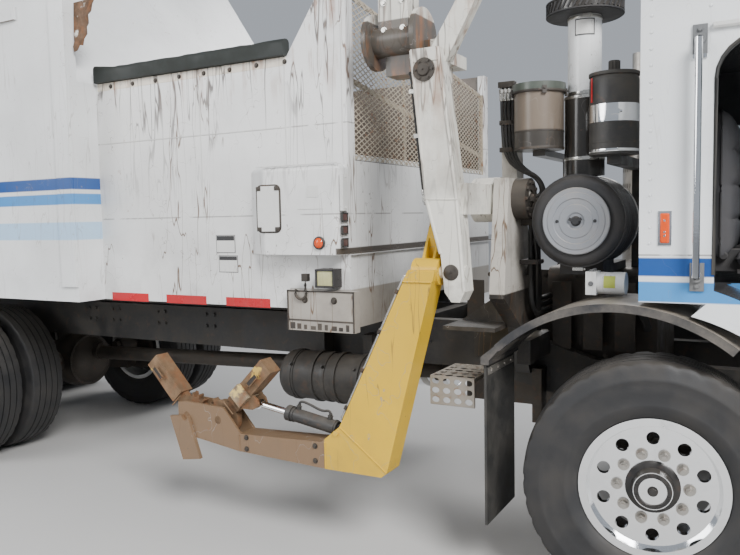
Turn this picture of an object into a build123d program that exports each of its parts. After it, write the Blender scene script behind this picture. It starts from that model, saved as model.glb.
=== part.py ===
"""Garbage truck: an automated side loader with a low cab, a side arm and a tipping body.

Millimetres, +X forward, +Y to the left, +Z up. The origin is on the ground, in the middle
of the overall length. Places along the truck are given from the front axle by ahead().
"""
import os
from math import cos, radians, sin, sqrt

from build123d import *

os.makedirs("parts", exist_ok=True)

# Overall stance
FRONT_AXLE_X = 3120.0
REAR_AXLE_1 = -4753.0
REAR_AXLE_2 = -6125.0
BODY_HALF_WIDTH = 1220.0
RIGHT = -1
LEFT = 1
SIDES = (("right", RIGHT), ("left", LEFT))

# Clearances
SEAT_GAP = 0.3
PIN_GAP = 0.3
DOOR_GAP = 10.0

# Wheels
TYRE_RADIUS = 538.0
FRONT_TYRE_WIDTH = 315.0
REAR_TYRE_WIDTH = 280.0
BEAD_RADIUS = 288.0
RIM_RADIUS = 281.0
RIM_WALL = 14.0
RIM_WIDTH = 254.0
FRONT_TRACK_HALF = 1001.0
DUAL_INNER_Y = 732.0
DUAL_OUTER_Y = 1072.0
KINGPIN_Y = 850.0
KINGPIN_RADIUS = 20.0
FRONT_SPINDLE_RADIUS = 40.0
REAR_SPINDLE_RADIUS = 55.0
STEER_REST_DEG = 8.7
WHEEL_STUDS = 10
HAND_HOLE_RADIUS = 27.0
HAND_HOLE_CIRCLE_RADIUS = 207.0

# Chassis frame
RAIL_Y = 430.0
RAIL_FLANGE = 80.0
RAIL_STEEL = 10.0
RAIL_TOP = 1098.0
RAIL_DEPTH = 260.0
RAIL_BOTTOM = RAIL_TOP - RAIL_DEPTH
RAIL_FRONT_TOP = 930.0
RAIL_FRONT_DEPTH = 230.0
RAIL_FRONT_BOTTOM = RAIL_FRONT_TOP - RAIL_FRONT_DEPTH
RAIL_REAR_END = -7300.0
RAIL_FRONT_END = 1600.0

# Body hinge, sills and floor
HINGE_X = -7260.0
HINGE_Z = 1143.0
HINGE_PIN_RADIUS = 25.0
SILL_BOTTOM = 1106.0
FLOOR_BOTTOM = 1206.0
FLOOR_STEEL = 40.0

# Hopper and wide body
HOPPER_HALF_WIDTH = 1020.0
HOPPER_WALL = 40.0
HOPPER_FRONT = -1450.0
BODY_FRONT = -3254.0
BODY_REAR = -7300.0
HOPPER_SILL = 2538.0
HOPPER_CORNER_TOP = 2860.0
HOPPER_LEFT_TOP = 2700.0
HOPPER_FACE_TOP = 1980.0
BODY_WALL = 60.0
BODY_ROOF = 3760.0
HOOD_TOP_X = -4060.0
TAILGATE_REAR = -8020.0
# The rear panel's arc reaches furthest a little above the height it is drawn through
TAILGATE_BULGE = 5.6
TAILGATE_ARC_Z = BODY_ROOF - 1160.0
TAILGATE_PIN_Z = BODY_ROOF + 55.0

# Hoist cylinders: (distance from the front axle, height) of their pins
HOIST_Y = 290.0
HOIST_BASE = (-6800.0, 600.0)
HOIST_EYE = (-5600.0, 1145.0)
HOIST_BARREL_RADIUS = 45.0
HOIST_ROD_RADIUS = 30.0
HOIST_BARREL_LENGTH = 1130.0
HOIST_PIN_RADIUS = 25.0
HOIST_TIE = 1195.0
HOIST_TIE_RADIUS = 20.0

# Cab
CAB_REAR = -10.0
CAB_FRONT = 1700.0
CAB_HALF_WIDTH = 1190.0
CAB_WALL = 45.0
CAB_FLOOR = 480.0
CAB_ROOF = 2620.0
CAB_SKIRT = 1325.0
TUNNEL_HALF_WIDTH = 500.0
ARCH_RADIUS = 760.0
ARCH_INNER_Y = 500.0
DOOR_REAR = 265.0
DOOR_FRONT = 1130.0
DOOR_TOP = 2330.0
DOOR_BOTTOM = 560.0
DOOR_ARCH_RADIUS = 880.0
DOOR_CORNER_RADIUS = 150.0
DOOR_THICKNESS = 40.0
GLASS = 8.0

# Left door hinges, outside on the front jamb
LEFT_HINGE_X = DOOR_FRONT - 4.0
LEFT_HINGE_Y = CAB_HALF_WIDTH + 20.0
HINGE_PIN = 8.0
KNUCKLE_RADIUS = 13.0
HINGE_HEIGHTS = (1000.0, 1960.0)
HINGE_HEIGHT = 150.0
HINGE_LUG = 20.0

# Right folding door: its two pins in the sill and the header
LEAF_HINGE_X = DOOR_FRONT - 28.0
LEAF_HINGE_Y = -CAB_HALF_WIDTH + 22.0
LEAF_PIN_RADIUS = 12.0
LEAF_PIN_BOTTOM = 538.0
LEAF_PIN_TOP = 2354.0

# Arm: the lift pivot, the boom pivot and the two finger pivots
LIFT_PIVOT_Y = -760.0
LIFT_PIVOT_Z = 1760.0
LIFT_SHAFT_RADIUS = 45.0
BOOM_PIVOT_Y = -1200.0
BOOM_PIVOT_Z = 1433.0
BOOM_PIN_RADIUS = 30.0
BOOM_Y = -1220.0
BOOM_THICKNESS = 130.0
BLADE_Y = -1185.0
BLADE_THICKNESS = 110.0
GEAR_PITCH_RADIUS = 110.0
GEAR_TEETH = 18
GEAR_X = -2140.0
GEAR_Z = 620.0
GEAR_THICKNESS = 40.0
FINGER_SIZE = 90.0
FINGER_PIN_RADIUS = 22.0


def ahead(distance):
    """X of a place this far ahead of the front axle, or behind it if negative."""
    return FRONT_AXLE_X + distance


def from_front_axle(points):
    """Turn (distance ahead of the front axle, height) pairs into (X, Z) pairs."""
    return [(ahead(x), z) for x, z in points]


def block(x, y, z, mode=Mode.ADD):
    """Add a box given by its low and high X (from the front axle), Y and Z."""
    centre = (ahead((x[0] + x[1]) / 2), (y[0] + y[1]) / 2, (z[0] + z[1]) / 2)
    with Locations(centre):
        Box(x[1] - x[0], abs(y[1] - y[0]), z[1] - z[0], mode=mode)


def side_plate(points, y_a, y_b, mode=Mode.ADD):
    """Extrude an outline of (from front axle, height) pairs between two Y planes."""
    with BuildSketch(Plane.XZ.offset(-max(y_a, y_b))) as outline:
        with BuildLine():
            Polyline(*from_front_axle(points), close=True)
        make_face()
    extrude(outline.sketch, amount=abs(y_a - y_b), mode=mode)


def cross_plate(points, x_a, x_b, mode=Mode.ADD):
    """Extrude an outline of (Y, Z) pairs between two stations along the truck."""
    with BuildSketch(Plane.YZ.offset(ahead(min(x_a, x_b)))) as outline:
        with BuildLine():
            Polyline(*points, close=True)
        make_face()
    extrude(outline.sketch, amount=abs(x_a - x_b), mode=mode)


def bar_along_y(x, z, y_a, y_b, radius, mode=Mode.ADD):
    """Add a round bar along Y."""
    with BuildSketch(Plane.XZ.offset(-max(y_a, y_b))) as section:
        with Locations((ahead(x), z)):
            Circle(radius)
    extrude(section.sketch, amount=abs(y_a - y_b), mode=mode)


def bar_along_x(y, z, x_a, x_b, radius, mode=Mode.ADD):
    """Add a round bar along X."""
    with BuildSketch(Plane.YZ.offset(ahead(min(x_a, x_b)))) as section:
        with Locations((y, z)):
            Circle(radius)
    extrude(section.sketch, amount=abs(x_a - x_b), mode=mode)


def bar_along_z(x, y, z_a, z_b, radius, mode=Mode.ADD):
    """Add a round bar along Z."""
    with BuildSketch(Plane.XY.offset(min(z_a, z_b))) as section:
        with Locations((ahead(x), y)):
            Circle(radius)
    extrude(section.sketch, amount=abs(z_a - z_b), mode=mode)


def bar_between(start, end, radius, mode=Mode.ADD):
    """Add a round bar between two points, each (from front axle, Y, Z)."""
    a = Vector(ahead(start[0]), start[1], start[2])
    b = Vector(ahead(end[0]), end[1], end[2])
    with BuildSketch(Plane(origin=a, z_dir=b - a)) as section:
        Circle(radius)
    extrude(section.sketch, amount=(b - a).length, mode=mode)


# Chassis

RAIL_OUTLINE = [
    (RAIL_REAR_END, RAIL_TOP),
    (-900.0, RAIL_TOP),
    (-350.0, RAIL_FRONT_TOP),
    (RAIL_FRONT_END, RAIL_FRONT_TOP),
    (RAIL_FRONT_END, RAIL_FRONT_BOTTOM),
    (-420.0, RAIL_FRONT_BOTTOM),
    (-980.0, RAIL_BOTTOM),
    (RAIL_REAR_END, RAIL_BOTTOM),
]
CROSS_MEMBERS = (-7180.0, -4900.0, -3480.0, -2500.0, -1400.0, 1540.0)
CROSS_MEMBER_LENGTH = 80.0
CROSS_MEMBER_DEPTH = 170.0

HOIST_BRACKET_INNER = HOIST_Y + HOIST_BARREL_RADIUS + 12
HOIST_BRACKET_OUTER = HOIST_BRACKET_INNER + 25
TOW_INNER = RAIL_Y - 50
TOW_OUTER = RAIL_Y - 20
TOW_HOLE_RADIUS = 20.0
TOW_EYES = ((1540.0, 440.0), (-7245.0, 740.0))

with BuildPart() as frame_rails:
    for name, side in SIDES:
        with BuildSketch(Plane.XZ.offset(-max(side * RAIL_Y, side * (RAIL_Y - RAIL_FLANGE)))):
            with BuildLine():
                Polyline(*from_front_axle(RAIL_OUTLINE), close=True)
            make_face()
        extrude(amount=RAIL_FLANGE)
        inner = RAIL_Y - RAIL_STEEL
        with BuildSketch(Plane.XZ.offset(-max(side * inner, side * (RAIL_Y - RAIL_FLANGE)))):
            with BuildLine():
                Polyline(*from_front_axle(RAIL_OUTLINE), close=True)
            make_face()
            offset(amount=-RAIL_STEEL, kind=Kind.INTERSECTION, mode=Mode.REPLACE)
        extrude(amount=RAIL_FLANGE - RAIL_STEEL, mode=Mode.SUBTRACT)
    for station in CROSS_MEMBERS:
        top = RAIL_TOP if station < 0 else RAIL_FRONT_TOP
        half = CROSS_MEMBER_LENGTH / 2
        block(
            (station - half, station + half),
            (-RAIL_Y + RAIL_STEEL / 2, RAIL_Y - RAIL_STEEL / 2),
            (top - RAIL_STEEL - CROSS_MEMBER_DEPTH, top - RAIL_STEEL / 2),
        )
    for name, side in SIDES:
        block((HINGE_X - 40, HINGE_X + 60), (side * (RAIL_Y - 5), side * (RAIL_Y + 30)), (960, 1060))
        side_plate(
            [(HOIST_BASE[0] - 110, RAIL_BOTTOM + 5), (HOIST_BASE[0] + 110, RAIL_BOTTOM + 5),
             (HOIST_BASE[0] + 45, HOIST_BASE[1] - 40), (HOIST_BASE[0] - 45, HOIST_BASE[1] - 40)],
            side * HOIST_BRACKET_INNER, side * HOIST_BRACKET_OUTER,
        )
        side_plate(
            [(1480, RAIL_FRONT_BOTTOM + 5), (1580, RAIL_FRONT_BOTTOM + 5), (1580, 400), (1500, 400)],
            side * TOW_INNER, side * TOW_OUTER,
        )
        side_plate(
            [(-7290, RAIL_BOTTOM + 5), (-7180, RAIL_BOTTOM + 5), (-7205, 700), (-7285, 700)],
            side * TOW_INNER, side * TOW_OUTER,
        )
        bar_along_y(HOIST_BASE[0], HOIST_BASE[1], side * (HOIST_BRACKET_INNER - 1),
                    side * (HOIST_BRACKET_OUTER + 1), HOIST_PIN_RADIUS + PIN_GAP, mode=Mode.SUBTRACT)
        for tow_x, tow_z in TOW_EYES:
            bar_along_y(tow_x, tow_z, side * (TOW_INNER - 1), side * (TOW_OUTER + 1), TOW_HOLE_RADIUS,
                        mode=Mode.SUBTRACT)
        side_plate(
            [(HINGE_X - 40, 1050), (HINGE_X + 60, 1050), (HINGE_X + 40, HINGE_Z + 35),
             (HINGE_X - 40, HINGE_Z + 35)],
            side * (RAIL_Y + 5), side * (RAIL_Y + 30),
        )
    bar_along_y(HINGE_X, HINGE_Z, -RAIL_Y - 30, RAIL_Y + 30, HINGE_PIN_RADIUS)
frame_rails.part.label = "frame_rails"
export_step(frame_rails.part, "parts/frame_rails.step")

AXLE_BEAM_BOTTOM = 400.0
AXLE_BEAM_TOP = 500.0
AXLE_EYE_RADIUS = 45.0
AXLE_EYE_BOTTOM = 470.0
AXLE_EYE_TOP = 606.0

with BuildPart() as front_axle_beam:
    block((-55, 55), (-720, 720), (AXLE_BEAM_BOTTOM, AXLE_BEAM_TOP))
    for name, side in SIDES:
        cross_plate(
            [(side * 660, AXLE_BEAM_BOTTOM), (side * 780, AXLE_EYE_BOTTOM),
             (side * KINGPIN_Y, AXLE_EYE_BOTTOM), (side * KINGPIN_Y, AXLE_EYE_TOP),
             (side * 780, AXLE_EYE_TOP), (side * 660, AXLE_BEAM_TOP)],
            -40, 40,
        )
        bar_along_z(0, side * KINGPIN_Y, AXLE_EYE_BOTTOM, AXLE_EYE_TOP, AXLE_EYE_RADIUS)
        bar_along_z(0, side * KINGPIN_Y, AXLE_EYE_BOTTOM - 1, AXLE_EYE_TOP + 1,
                    KINGPIN_RADIUS + PIN_GAP, mode=Mode.SUBTRACT)
front_axle_beam.part.label = "front_axle_beam"
export_step(front_axle_beam.part, "parts/front_axle_beam.step")

SPRING_Y = 480.0
SPRING_WIDTH = 90.0
SPRING_HALF_LENGTH = 640.0
SPRING_THICKNESS = 60.0
SPRING_RISE = 110.0
EQUALISER_Y = 500.0
AXLE_TUBE_RADIUS = 70.0

with BuildPart() as suspension:
    seat = AXLE_BEAM_TOP + SEAT_GAP
    for name, side in SIDES:
        edge = side * (SPRING_Y - SPRING_WIDTH / 2), side * (SPRING_Y + SPRING_WIDTH / 2)
        with BuildSketch(Plane.XZ.offset(-max(edge))):
            with BuildLine():
                ThreePointArc((ahead(-SPRING_HALF_LENGTH), seat + SPRING_RISE), (ahead(0), seat),
                              (ahead(SPRING_HALF_LENGTH), seat + SPRING_RISE))
                Line((ahead(SPRING_HALF_LENGTH), seat + SPRING_RISE),
                     (ahead(SPRING_HALF_LENGTH), seat + SPRING_RISE + SPRING_THICKNESS / 3))
                ThreePointArc((ahead(SPRING_HALF_LENGTH), seat + SPRING_RISE + SPRING_THICKNESS / 3),
                              (ahead(0), seat + SPRING_THICKNESS),
                              (ahead(-SPRING_HALF_LENGTH), seat + SPRING_RISE + SPRING_THICKNESS / 3))
                Line((ahead(-SPRING_HALF_LENGTH), seat + SPRING_RISE + SPRING_THICKNESS / 3),
                     (ahead(-SPRING_HALF_LENGTH), seat + SPRING_RISE))
            make_face()
        extrude(amount=SPRING_WIDTH)
        for hanger in (-SPRING_HALF_LENGTH + 15, SPRING_HALF_LENGTH - 15):
            block((hanger - 25, hanger + 25), (side * (RAIL_Y + SEAT_GAP), edge[1]),
                  (seat + SPRING_RISE - 20, 880))
        low = TYRE_RADIUS - AXLE_TUBE_RADIUS - SEAT_GAP
        side_plate(
            [(REAR_AXLE_2 - 90, low), (REAR_AXLE_2 + 150, low), (REAR_AXLE_2 + 300, low - 20),
             (REAR_AXLE_1 - 300, low - 20), (REAR_AXLE_1 - 150, low), (REAR_AXLE_1 + 90, low),
             (REAR_AXLE_1 + 60, low - 90), (REAR_AXLE_1 - 500, low - 130),
             (REAR_AXLE_2 + 500, low - 130), (REAR_AXLE_2 - 60, low - 90)],
            side * (EQUALISER_Y - 50), side * (EQUALISER_Y + 50),
        )
        middle = (REAR_AXLE_1 + REAR_AXLE_2) / 2
        side_plate(
            [(middle - 240, RAIL_TOP - 60), (middle + 240, RAIL_TOP - 60), (middle + 90, low - 60),
             (middle - 90, low - 60)],
            side * (RAIL_Y + SEAT_GAP), side * (EQUALISER_Y + 20),
        )
suspension.part.label = "suspension"
export_step(suspension.part, "parts/suspension.step")

GEARBOX_REAR = -1150.0
DIFFERENTIAL_RADIUS = 230.0
SHAFT_RADIUS = 55.0
REAR_AXLE_TUBE_END = 590.0
REAR_SPINDLE_END = 1005.0

with BuildPart() as rear_axles:
    for station in (REAR_AXLE_1, REAR_AXLE_2):
        bar_along_y(station, TYRE_RADIUS, -REAR_AXLE_TUBE_END, REAR_AXLE_TUBE_END, AXLE_TUBE_RADIUS)
        bar_along_y(station, TYRE_RADIUS, -REAR_SPINDLE_END, REAR_SPINDLE_END, REAR_SPINDLE_RADIUS)
        with Locations((ahead(station), 0, TYRE_RADIUS)):
            Sphere(DIFFERENTIAL_RADIUS)
    bar_between((REAR_AXLE_2, 0, 620), (REAR_AXLE_1, 0, 620), SHAFT_RADIUS)
    bar_between((REAR_AXLE_1, 0, 600), (GEARBOX_REAR - SEAT_GAP - 2, 0, 720), SHAFT_RADIUS)
rear_axles.part.label = "rear_axles"
export_step(rear_axles.part, "parts/rear_axles.step")

ENGINE_REAR = -620.0
ENGINE_FRONT = -60.0

with BuildPart() as engine_block:
    block((ENGINE_REAR, ENGINE_FRONT), (-330, 330), (760, 1400))
    block((GEARBOX_REAR, ENGINE_REAR), (-190, 190), (600, 980))
    block((-400, -280), (-RAIL_Y + RAIL_STEEL + SEAT_GAP, RAIL_Y - RAIL_STEEL - SEAT_GAP), (800, 880))
    fillet(engine_block.edges().filter_by(Axis.X).group_by(Axis.Z)[-1], radius=60)
engine_block.part.label = "engine_block"
export_step(engine_block.part, "parts/engine_block.step")

FUEL_TANK_RADIUS = 300.0
FUEL_TANK_Y = 770.0
FUEL_TANK_Z = 720.0
AIR_TANK_RADIUS = 143.0
AIR_TANK_Y = -640.0
AIR_TANK_Z = 758.0
STRAP = 60.0

with BuildPart() as fuel_tank:
    bar_along_x(FUEL_TANK_Y, FUEL_TANK_Z, -2800, -1600, FUEL_TANK_RADIUS)
    fillet(fuel_tank.edges(), radius=30)
    for strap in (-2600, -1860):
        block((strap, strap + STRAP), (RAIL_Y + SEAT_GAP, FUEL_TANK_Y - 200), (860, 1000))
        block((strap, strap + STRAP), (RAIL_Y + SEAT_GAP, FUEL_TANK_Y - 270), (640, 1000))
fuel_tank.part.label = "fuel_tank"
export_step(fuel_tank.part, "parts/fuel_tank.step")

with BuildPart() as air_tank:
    bar_along_x(AIR_TANK_Y, AIR_TANK_Z, -2110, -1500, AIR_TANK_RADIUS)
    fillet(air_tank.edges(), radius=40)
    for rib in (-2040, -1890, -1740, -1590):
        bar_along_x(AIR_TANK_Y, AIR_TANK_Z, rib, rib + 24, AIR_TANK_RADIUS + 8)
    for strap in (-1990, -1660):
        block((strap, strap + STRAP), (-RAIL_Y - SEAT_GAP, AIR_TANK_Y + 100), (AIR_TANK_Z - 30, 1000))
air_tank.part.label = "air_tank"
export_step(air_tank.part, "parts/air_tank.step")

BUMPER_FRONT = 1780.0

with BuildPart() as front_bumper:
    block((RAIL_FRONT_END + SEAT_GAP, BUMPER_FRONT), (-1100, 1100), (500, 760))
    fillet(front_bumper.edges().filter_by(Axis.Z).group_by(Axis.X)[-1], radius=90)
    block((RAIL_FRONT_END - 1, BUMPER_FRONT - 60), (-1040, -520), (440, 700), mode=Mode.SUBTRACT)
    block((RAIL_FRONT_END - 1, BUMPER_FRONT - 60), (520, 1040), (440, 700), mode=Mode.SUBTRACT)
front_bumper.part.label = "front_bumper"
export_step(front_bumper.part, "parts/front_bumper.step")

# Cab

CAB_OUTLINE = [
    (CAB_REAR, CAB_SKIRT),
    (CAB_REAR, CAB_ROOF),
    (1420.0, CAB_ROOF),
    (1560.0, 2520.0),
    (CAB_FRONT - 30, 1500.0),
    (CAB_FRONT, 1300.0),
    (CAB_FRONT, 790.0),
    (1590.0, 790.0),
    (1590.0, CAB_FLOOR),
    (700.0, CAB_FLOOR),
    (620.0, CAB_SKIRT),
]


def door_outline(gap):
    """Doorway outline shrunk by a gap: sill, front jamb, header, rear jamb and wheel arch."""
    arch = DOOR_ARCH_RADIUS + gap
    rear = DOOR_REAR + gap
    arch_top = TYRE_RADIUS + sqrt(arch ** 2 - rear ** 2)
    sill = DOOR_BOTTOM + gap
    arch_foot = sqrt(arch ** 2 - (sill - TYRE_RADIUS) ** 2)
    middle = arch * cos(radians(42)), TYRE_RADIUS + arch * sin(radians(42))
    top = DOOR_TOP - gap
    corner = DOOR_CORNER_RADIUS - gap
    corner_middle = corner * (1 - sin(radians(45)))
    with BuildLine() as edge:
        Polyline((ahead(arch_foot), sill), (ahead(DOOR_FRONT - gap), sill),
                 (ahead(DOOR_FRONT - gap), top), (ahead(rear + corner), top))
        ThreePointArc((ahead(rear + corner), top), (ahead(rear + corner_middle), top - corner_middle),
                      (ahead(rear), top - corner))
        Line((ahead(rear), top - corner), (ahead(rear), arch_top))
        ThreePointArc((ahead(rear), arch_top), (ahead(middle[0]), middle[1]), (ahead(arch_foot), sill))
    make_face(edge.edges())


def arch_point(radius, height):
    """Point ahead of the front axle on an arc about it, at a height."""
    return ahead(sqrt(radius ** 2 - (height - TYRE_RADIUS) ** 2)), height


def step_well_outline(radius, top, foot):
    """Outline from an arc about the front axle forward into the footwell, between two heights."""
    with BuildLine() as edge:
        ThreePointArc(arch_point(radius, top), arch_point(radius, (top + 2 * foot) / 3),
                      arch_point(radius, foot))
        Polyline(arch_point(radius, foot), (ahead(radius + 20), foot), (ahead(radius + 20), top),
                 arch_point(radius, top))
    make_face(edge.edges())


def hump_outline(inside, outside, top, foot):
    """Band between two arcs about the front axle, between two heights."""
    with BuildLine() as edge:
        ThreePointArc(arch_point(outside, top), arch_point(outside, (top + 2 * foot) / 3),
                      arch_point(outside, foot))
        Line(arch_point(outside, foot), arch_point(inside, foot))
        ThreePointArc(arch_point(inside, foot), arch_point(inside, (HUMP_FOLD + 2 * foot) / 3),
                      arch_point(inside, HUMP_FOLD))
        Line(arch_point(inside, HUMP_FOLD), arch_point(outside, top))
    make_face(edge.edges())


with BuildPart() as cab_cavity:
    inner_half = CAB_HALF_WIDTH - CAB_WALL
    with BuildSketch(Plane.XZ.offset(-inner_half)):
        with BuildLine():
            Polyline(*from_front_axle(CAB_OUTLINE), close=True)
        make_face()
        offset(amount=-CAB_WALL, kind=Kind.INTERSECTION, mode=Mode.REPLACE)
    extrude(amount=2 * inner_half)
    for name, side in SIDES:
        bar_along_y(0, TYRE_RADIUS, side * (ARCH_INNER_Y - 1), side * (CAB_HALF_WIDTH + 1),
                    ARCH_RADIUS + CAB_WALL, mode=Mode.SUBTRACT)
    block((CAB_REAR, CAB_FRONT), (-TUNNEL_HALF_WIDTH, TUNNEL_HALF_WIDTH),
          (CAB_FLOOR, RAIL_FRONT_TOP + SEAT_GAP + CAB_WALL), mode=Mode.SUBTRACT)

# The step well beside each seat, which the folding door swings through
WELL_INNER_Y = 790.0
HUMP_FOLD = 1275.0
CAB_CORNER_RADIUS = 110.0

WINDSCREEN_BOTTOM = 1520.0
WINDSCREEN_TOP = 2430.0
WINDSCREEN_HALF_WIDTH = 1060.0
QUARTER_WINDOW_X = (60.0, 225.0)
QUARTER_WINDOW_Z = (1930.0, 2235.0)
REAR_WINDOW_HALF_WIDTH = 400.0
REAR_WINDOW_Z = (1950.0, 2300.0)

with BuildPart() as cab_shell:
    side_plate(CAB_OUTLINE, -CAB_HALF_WIDTH, CAB_HALF_WIDTH)
    front_corners = [edge for edge in cab_shell.edges().filter_by(lambda e: abs(e.tangent_at(0.5).Y) < 0.1)
                     if edge.center().X > ahead(1450) and edge.center().Z > RAIL_FRONT_TOP]
    fillet(front_corners, radius=CAB_CORNER_RADIUS)
    add(cab_cavity.part, mode=Mode.SUBTRACT)
    for name, side in SIDES:
        inner_face = side * (CAB_HALF_WIDTH - CAB_WALL)
        with BuildSketch(Plane.XZ.offset(-max(inner_face, side * WELL_INNER_Y))) as well:
            step_well_outline(DOOR_ARCH_RADIUS, CAB_SKIRT + CAB_WALL + 1, CAB_FLOOR + CAB_WALL)
        extrude(well.sketch, amount=abs(inner_face) - WELL_INNER_Y, mode=Mode.SUBTRACT)
        wall_face = side * (WELL_INNER_Y - CAB_WALL)
        with BuildSketch(Plane.XZ.offset(-max(side * CAB_HALF_WIDTH, wall_face))) as hump:
            hump_outline(ARCH_RADIUS, DOOR_ARCH_RADIUS, CAB_SKIRT + CAB_WALL, CAB_FLOOR)
        extrude(hump.sketch, amount=CAB_HALF_WIDTH - abs(wall_face))
        with BuildSketch(Plane.XZ.offset(-max(side * WELL_INNER_Y, wall_face))) as well_wall:
            with BuildLine():
                Polyline(arch_point(ARCH_RADIUS + 20, CAB_SKIRT - 30), arch_point(ARCH_RADIUS + 20, 1150),
                         arch_point(ARCH_RADIUS + 20, 950), arch_point(DOOR_ARCH_RADIUS - 20, 950),
                         (ahead(700), CAB_SKIRT + CAB_WALL), (ahead(300), CAB_SKIRT + CAB_WALL), close=True)
            make_face()
        extrude(well_wall.sketch, amount=CAB_WALL)
    for name, side in SIDES:
        bar_along_y(0, TYRE_RADIUS, side * (ARCH_INNER_Y + CAB_WALL), side * (CAB_HALF_WIDTH + 10),
                    ARCH_RADIUS, mode=Mode.SUBTRACT)
        with BuildSketch(Plane.XZ.offset(-max(side * (CAB_HALF_WIDTH + 10), side * (CAB_HALF_WIDTH - 60)))):
            door_outline(0.0)
        extrude(amount=70, mode=Mode.SUBTRACT)
    block((CAB_REAR - 1, CAB_FRONT + 1), (-TUNNEL_HALF_WIDTH + CAB_WALL, TUNNEL_HALF_WIDTH - CAB_WALL),
          (CAB_FLOOR - 1, RAIL_FRONT_TOP + SEAT_GAP), mode=Mode.SUBTRACT)
    block((1400, CAB_FRONT + 1), (-WINDSCREEN_HALF_WIDTH, WINDSCREEN_HALF_WIDTH),
          (WINDSCREEN_BOTTOM, WINDSCREEN_TOP), mode=Mode.SUBTRACT)
    block(QUARTER_WINDOW_X, (CAB_HALF_WIDTH - 60, CAB_HALF_WIDTH + 10), QUARTER_WINDOW_Z,
          mode=Mode.SUBTRACT)
    block((CAB_REAR - 10, CAB_REAR + CAB_WALL + 10), (-REAR_WINDOW_HALF_WIDTH, REAR_WINDOW_HALF_WIDTH),
          REAR_WINDOW_Z, mode=Mode.SUBTRACT)
    for low in HINGE_HEIGHTS:
        for lug in (low, low + HINGE_HEIGHT - HINGE_LUG):
            bar_along_z(LEFT_HINGE_X, LEFT_HINGE_Y, lug, lug + HINGE_LUG, KNUCKLE_RADIUS)
            block((LEFT_HINGE_X, LEFT_HINGE_X + 50), (CAB_HALF_WIDTH - 2, LEFT_HINGE_Y + KNUCKLE_RADIUS),
                  (lug, lug + HINGE_LUG))
        bar_along_z(LEFT_HINGE_X, LEFT_HINGE_Y, low, low + HINGE_HEIGHT, HINGE_PIN)
    for low, high in ((LEAF_PIN_BOTTOM - 1, DOOR_BOTTOM + 1), (DOOR_TOP - 1, LEAF_PIN_TOP + 1)):
        bar_along_z(LEAF_HINGE_X, LEAF_HINGE_Y, low, high, LEAF_PIN_RADIUS + PIN_GAP, mode=Mode.SUBTRACT)
cab_shell.part.label = "cab_shell"
export_step(cab_shell.part, "parts/cab_shell.step")

with BuildPart() as cab_glass:
    lean = (CAB_FRONT - 30 - 1560.0) / (2520.0 - 1500.0)
    inset = 14.0
    low_x = CAB_FRONT - 30 - (WINDSCREEN_BOTTOM + SEAT_GAP - 1500.0) * lean - inset
    high_x = CAB_FRONT - 30 - (WINDSCREEN_TOP - SEAT_GAP - 1500.0) * lean - inset
    side_plate(
        [(low_x, WINDSCREEN_BOTTOM + SEAT_GAP), (high_x, WINDSCREEN_TOP - SEAT_GAP),
         (high_x - GLASS, WINDSCREEN_TOP - SEAT_GAP), (low_x - GLASS, WINDSCREEN_BOTTOM + SEAT_GAP)],
        -WINDSCREEN_HALF_WIDTH + SEAT_GAP, WINDSCREEN_HALF_WIDTH - SEAT_GAP,
    )
    block((QUARTER_WINDOW_X[0] + SEAT_GAP, QUARTER_WINDOW_X[1] - SEAT_GAP),
          (CAB_HALF_WIDTH - 24, CAB_HALF_WIDTH - 16),
          (QUARTER_WINDOW_Z[0] + SEAT_GAP, QUARTER_WINDOW_Z[1] - SEAT_GAP))
    block((CAB_REAR + 16, CAB_REAR + 24),
          (-REAR_WINDOW_HALF_WIDTH + SEAT_GAP, REAR_WINDOW_HALF_WIDTH - SEAT_GAP),
          (REAR_WINDOW_Z[0] + SEAT_GAP, REAR_WINDOW_Z[1] - SEAT_GAP))
cab_glass.part.label = "cab_glass"
export_step(cab_glass.part, "parts/cab_glass.step")

CAB_INNER_FLOOR = RAIL_FRONT_TOP + 2 * SEAT_GAP + CAB_WALL
WHEEL_RIM_RADIUS = 225.0
# Middle of the left and of the right driving place
DRIVER_Y = (620.0, -480.0)

with BuildPart() as dashboard:
    side_plate(
        [(1200, 1150), (1250, 1400), (1600, 1440), (1620, 1300), (1620, CAB_INNER_FLOOR + 40),
         (1380, CAB_INNER_FLOOR + 40), (1360, 1150)],
        -1100, 1100,
    )
    block((1400, 1600), (-440, 440), (CAB_INNER_FLOOR, 1100))
    for centre in DRIVER_Y:
        bar_between((1290, centre, 1380), (1080, centre, 1640), 30)
        column = Vector(-210, 0, 260).normalized()
        with Locations(Plane(origin=(ahead(1080), centre, 1640), z_dir=column).location):
            Torus(WHEEL_RIM_RADIUS, 17)
            Box(2 * WHEEL_RIM_RADIUS, 34, 20)
dashboard.part.label = "dashboard"
export_step(dashboard.part, "parts/dashboard.step")

with BuildPart() as seats:
    rear_floor = CAB_SKIRT + CAB_WALL + SEAT_GAP
    for centre, station in ((DRIVER_Y[0], 430.0), (DRIVER_Y[1] - 90, 330.0)):
        block((station - 20, station + 420), (centre - 230, centre + 230), (1430, 1530))
        block((station - 130, station - 20), (centre - 220, centre + 220), (1470, 2120))
        block((station + 40, station + 200), (centre - 120, centre + 120), (rear_floor, 1435))
seats.part.label = "seats"
export_step(seats.part, "parts/seats.step")

with BuildPart() as mirrors:
    for name, side in SIDES:
        block((1440, 1500), (side * 1330, side * 1450), (1650, 2150))
        bar_between((1470, side * (CAB_HALF_WIDTH + SEAT_GAP), 2200), (1470, side * 1400, 2200), 14)
        bar_between((1470, side * (CAB_HALF_WIDTH + SEAT_GAP), 1600), (1470, side * 1400, 1600), 14)
        bar_along_z(1470, side * 1390, 1590, 2210, 14)
mirrors.part.label = "mirrors"
export_step(mirrors.part, "parts/mirrors.step")

GRAB_X = 205.0
GRAB_Y = 1240.0

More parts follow.
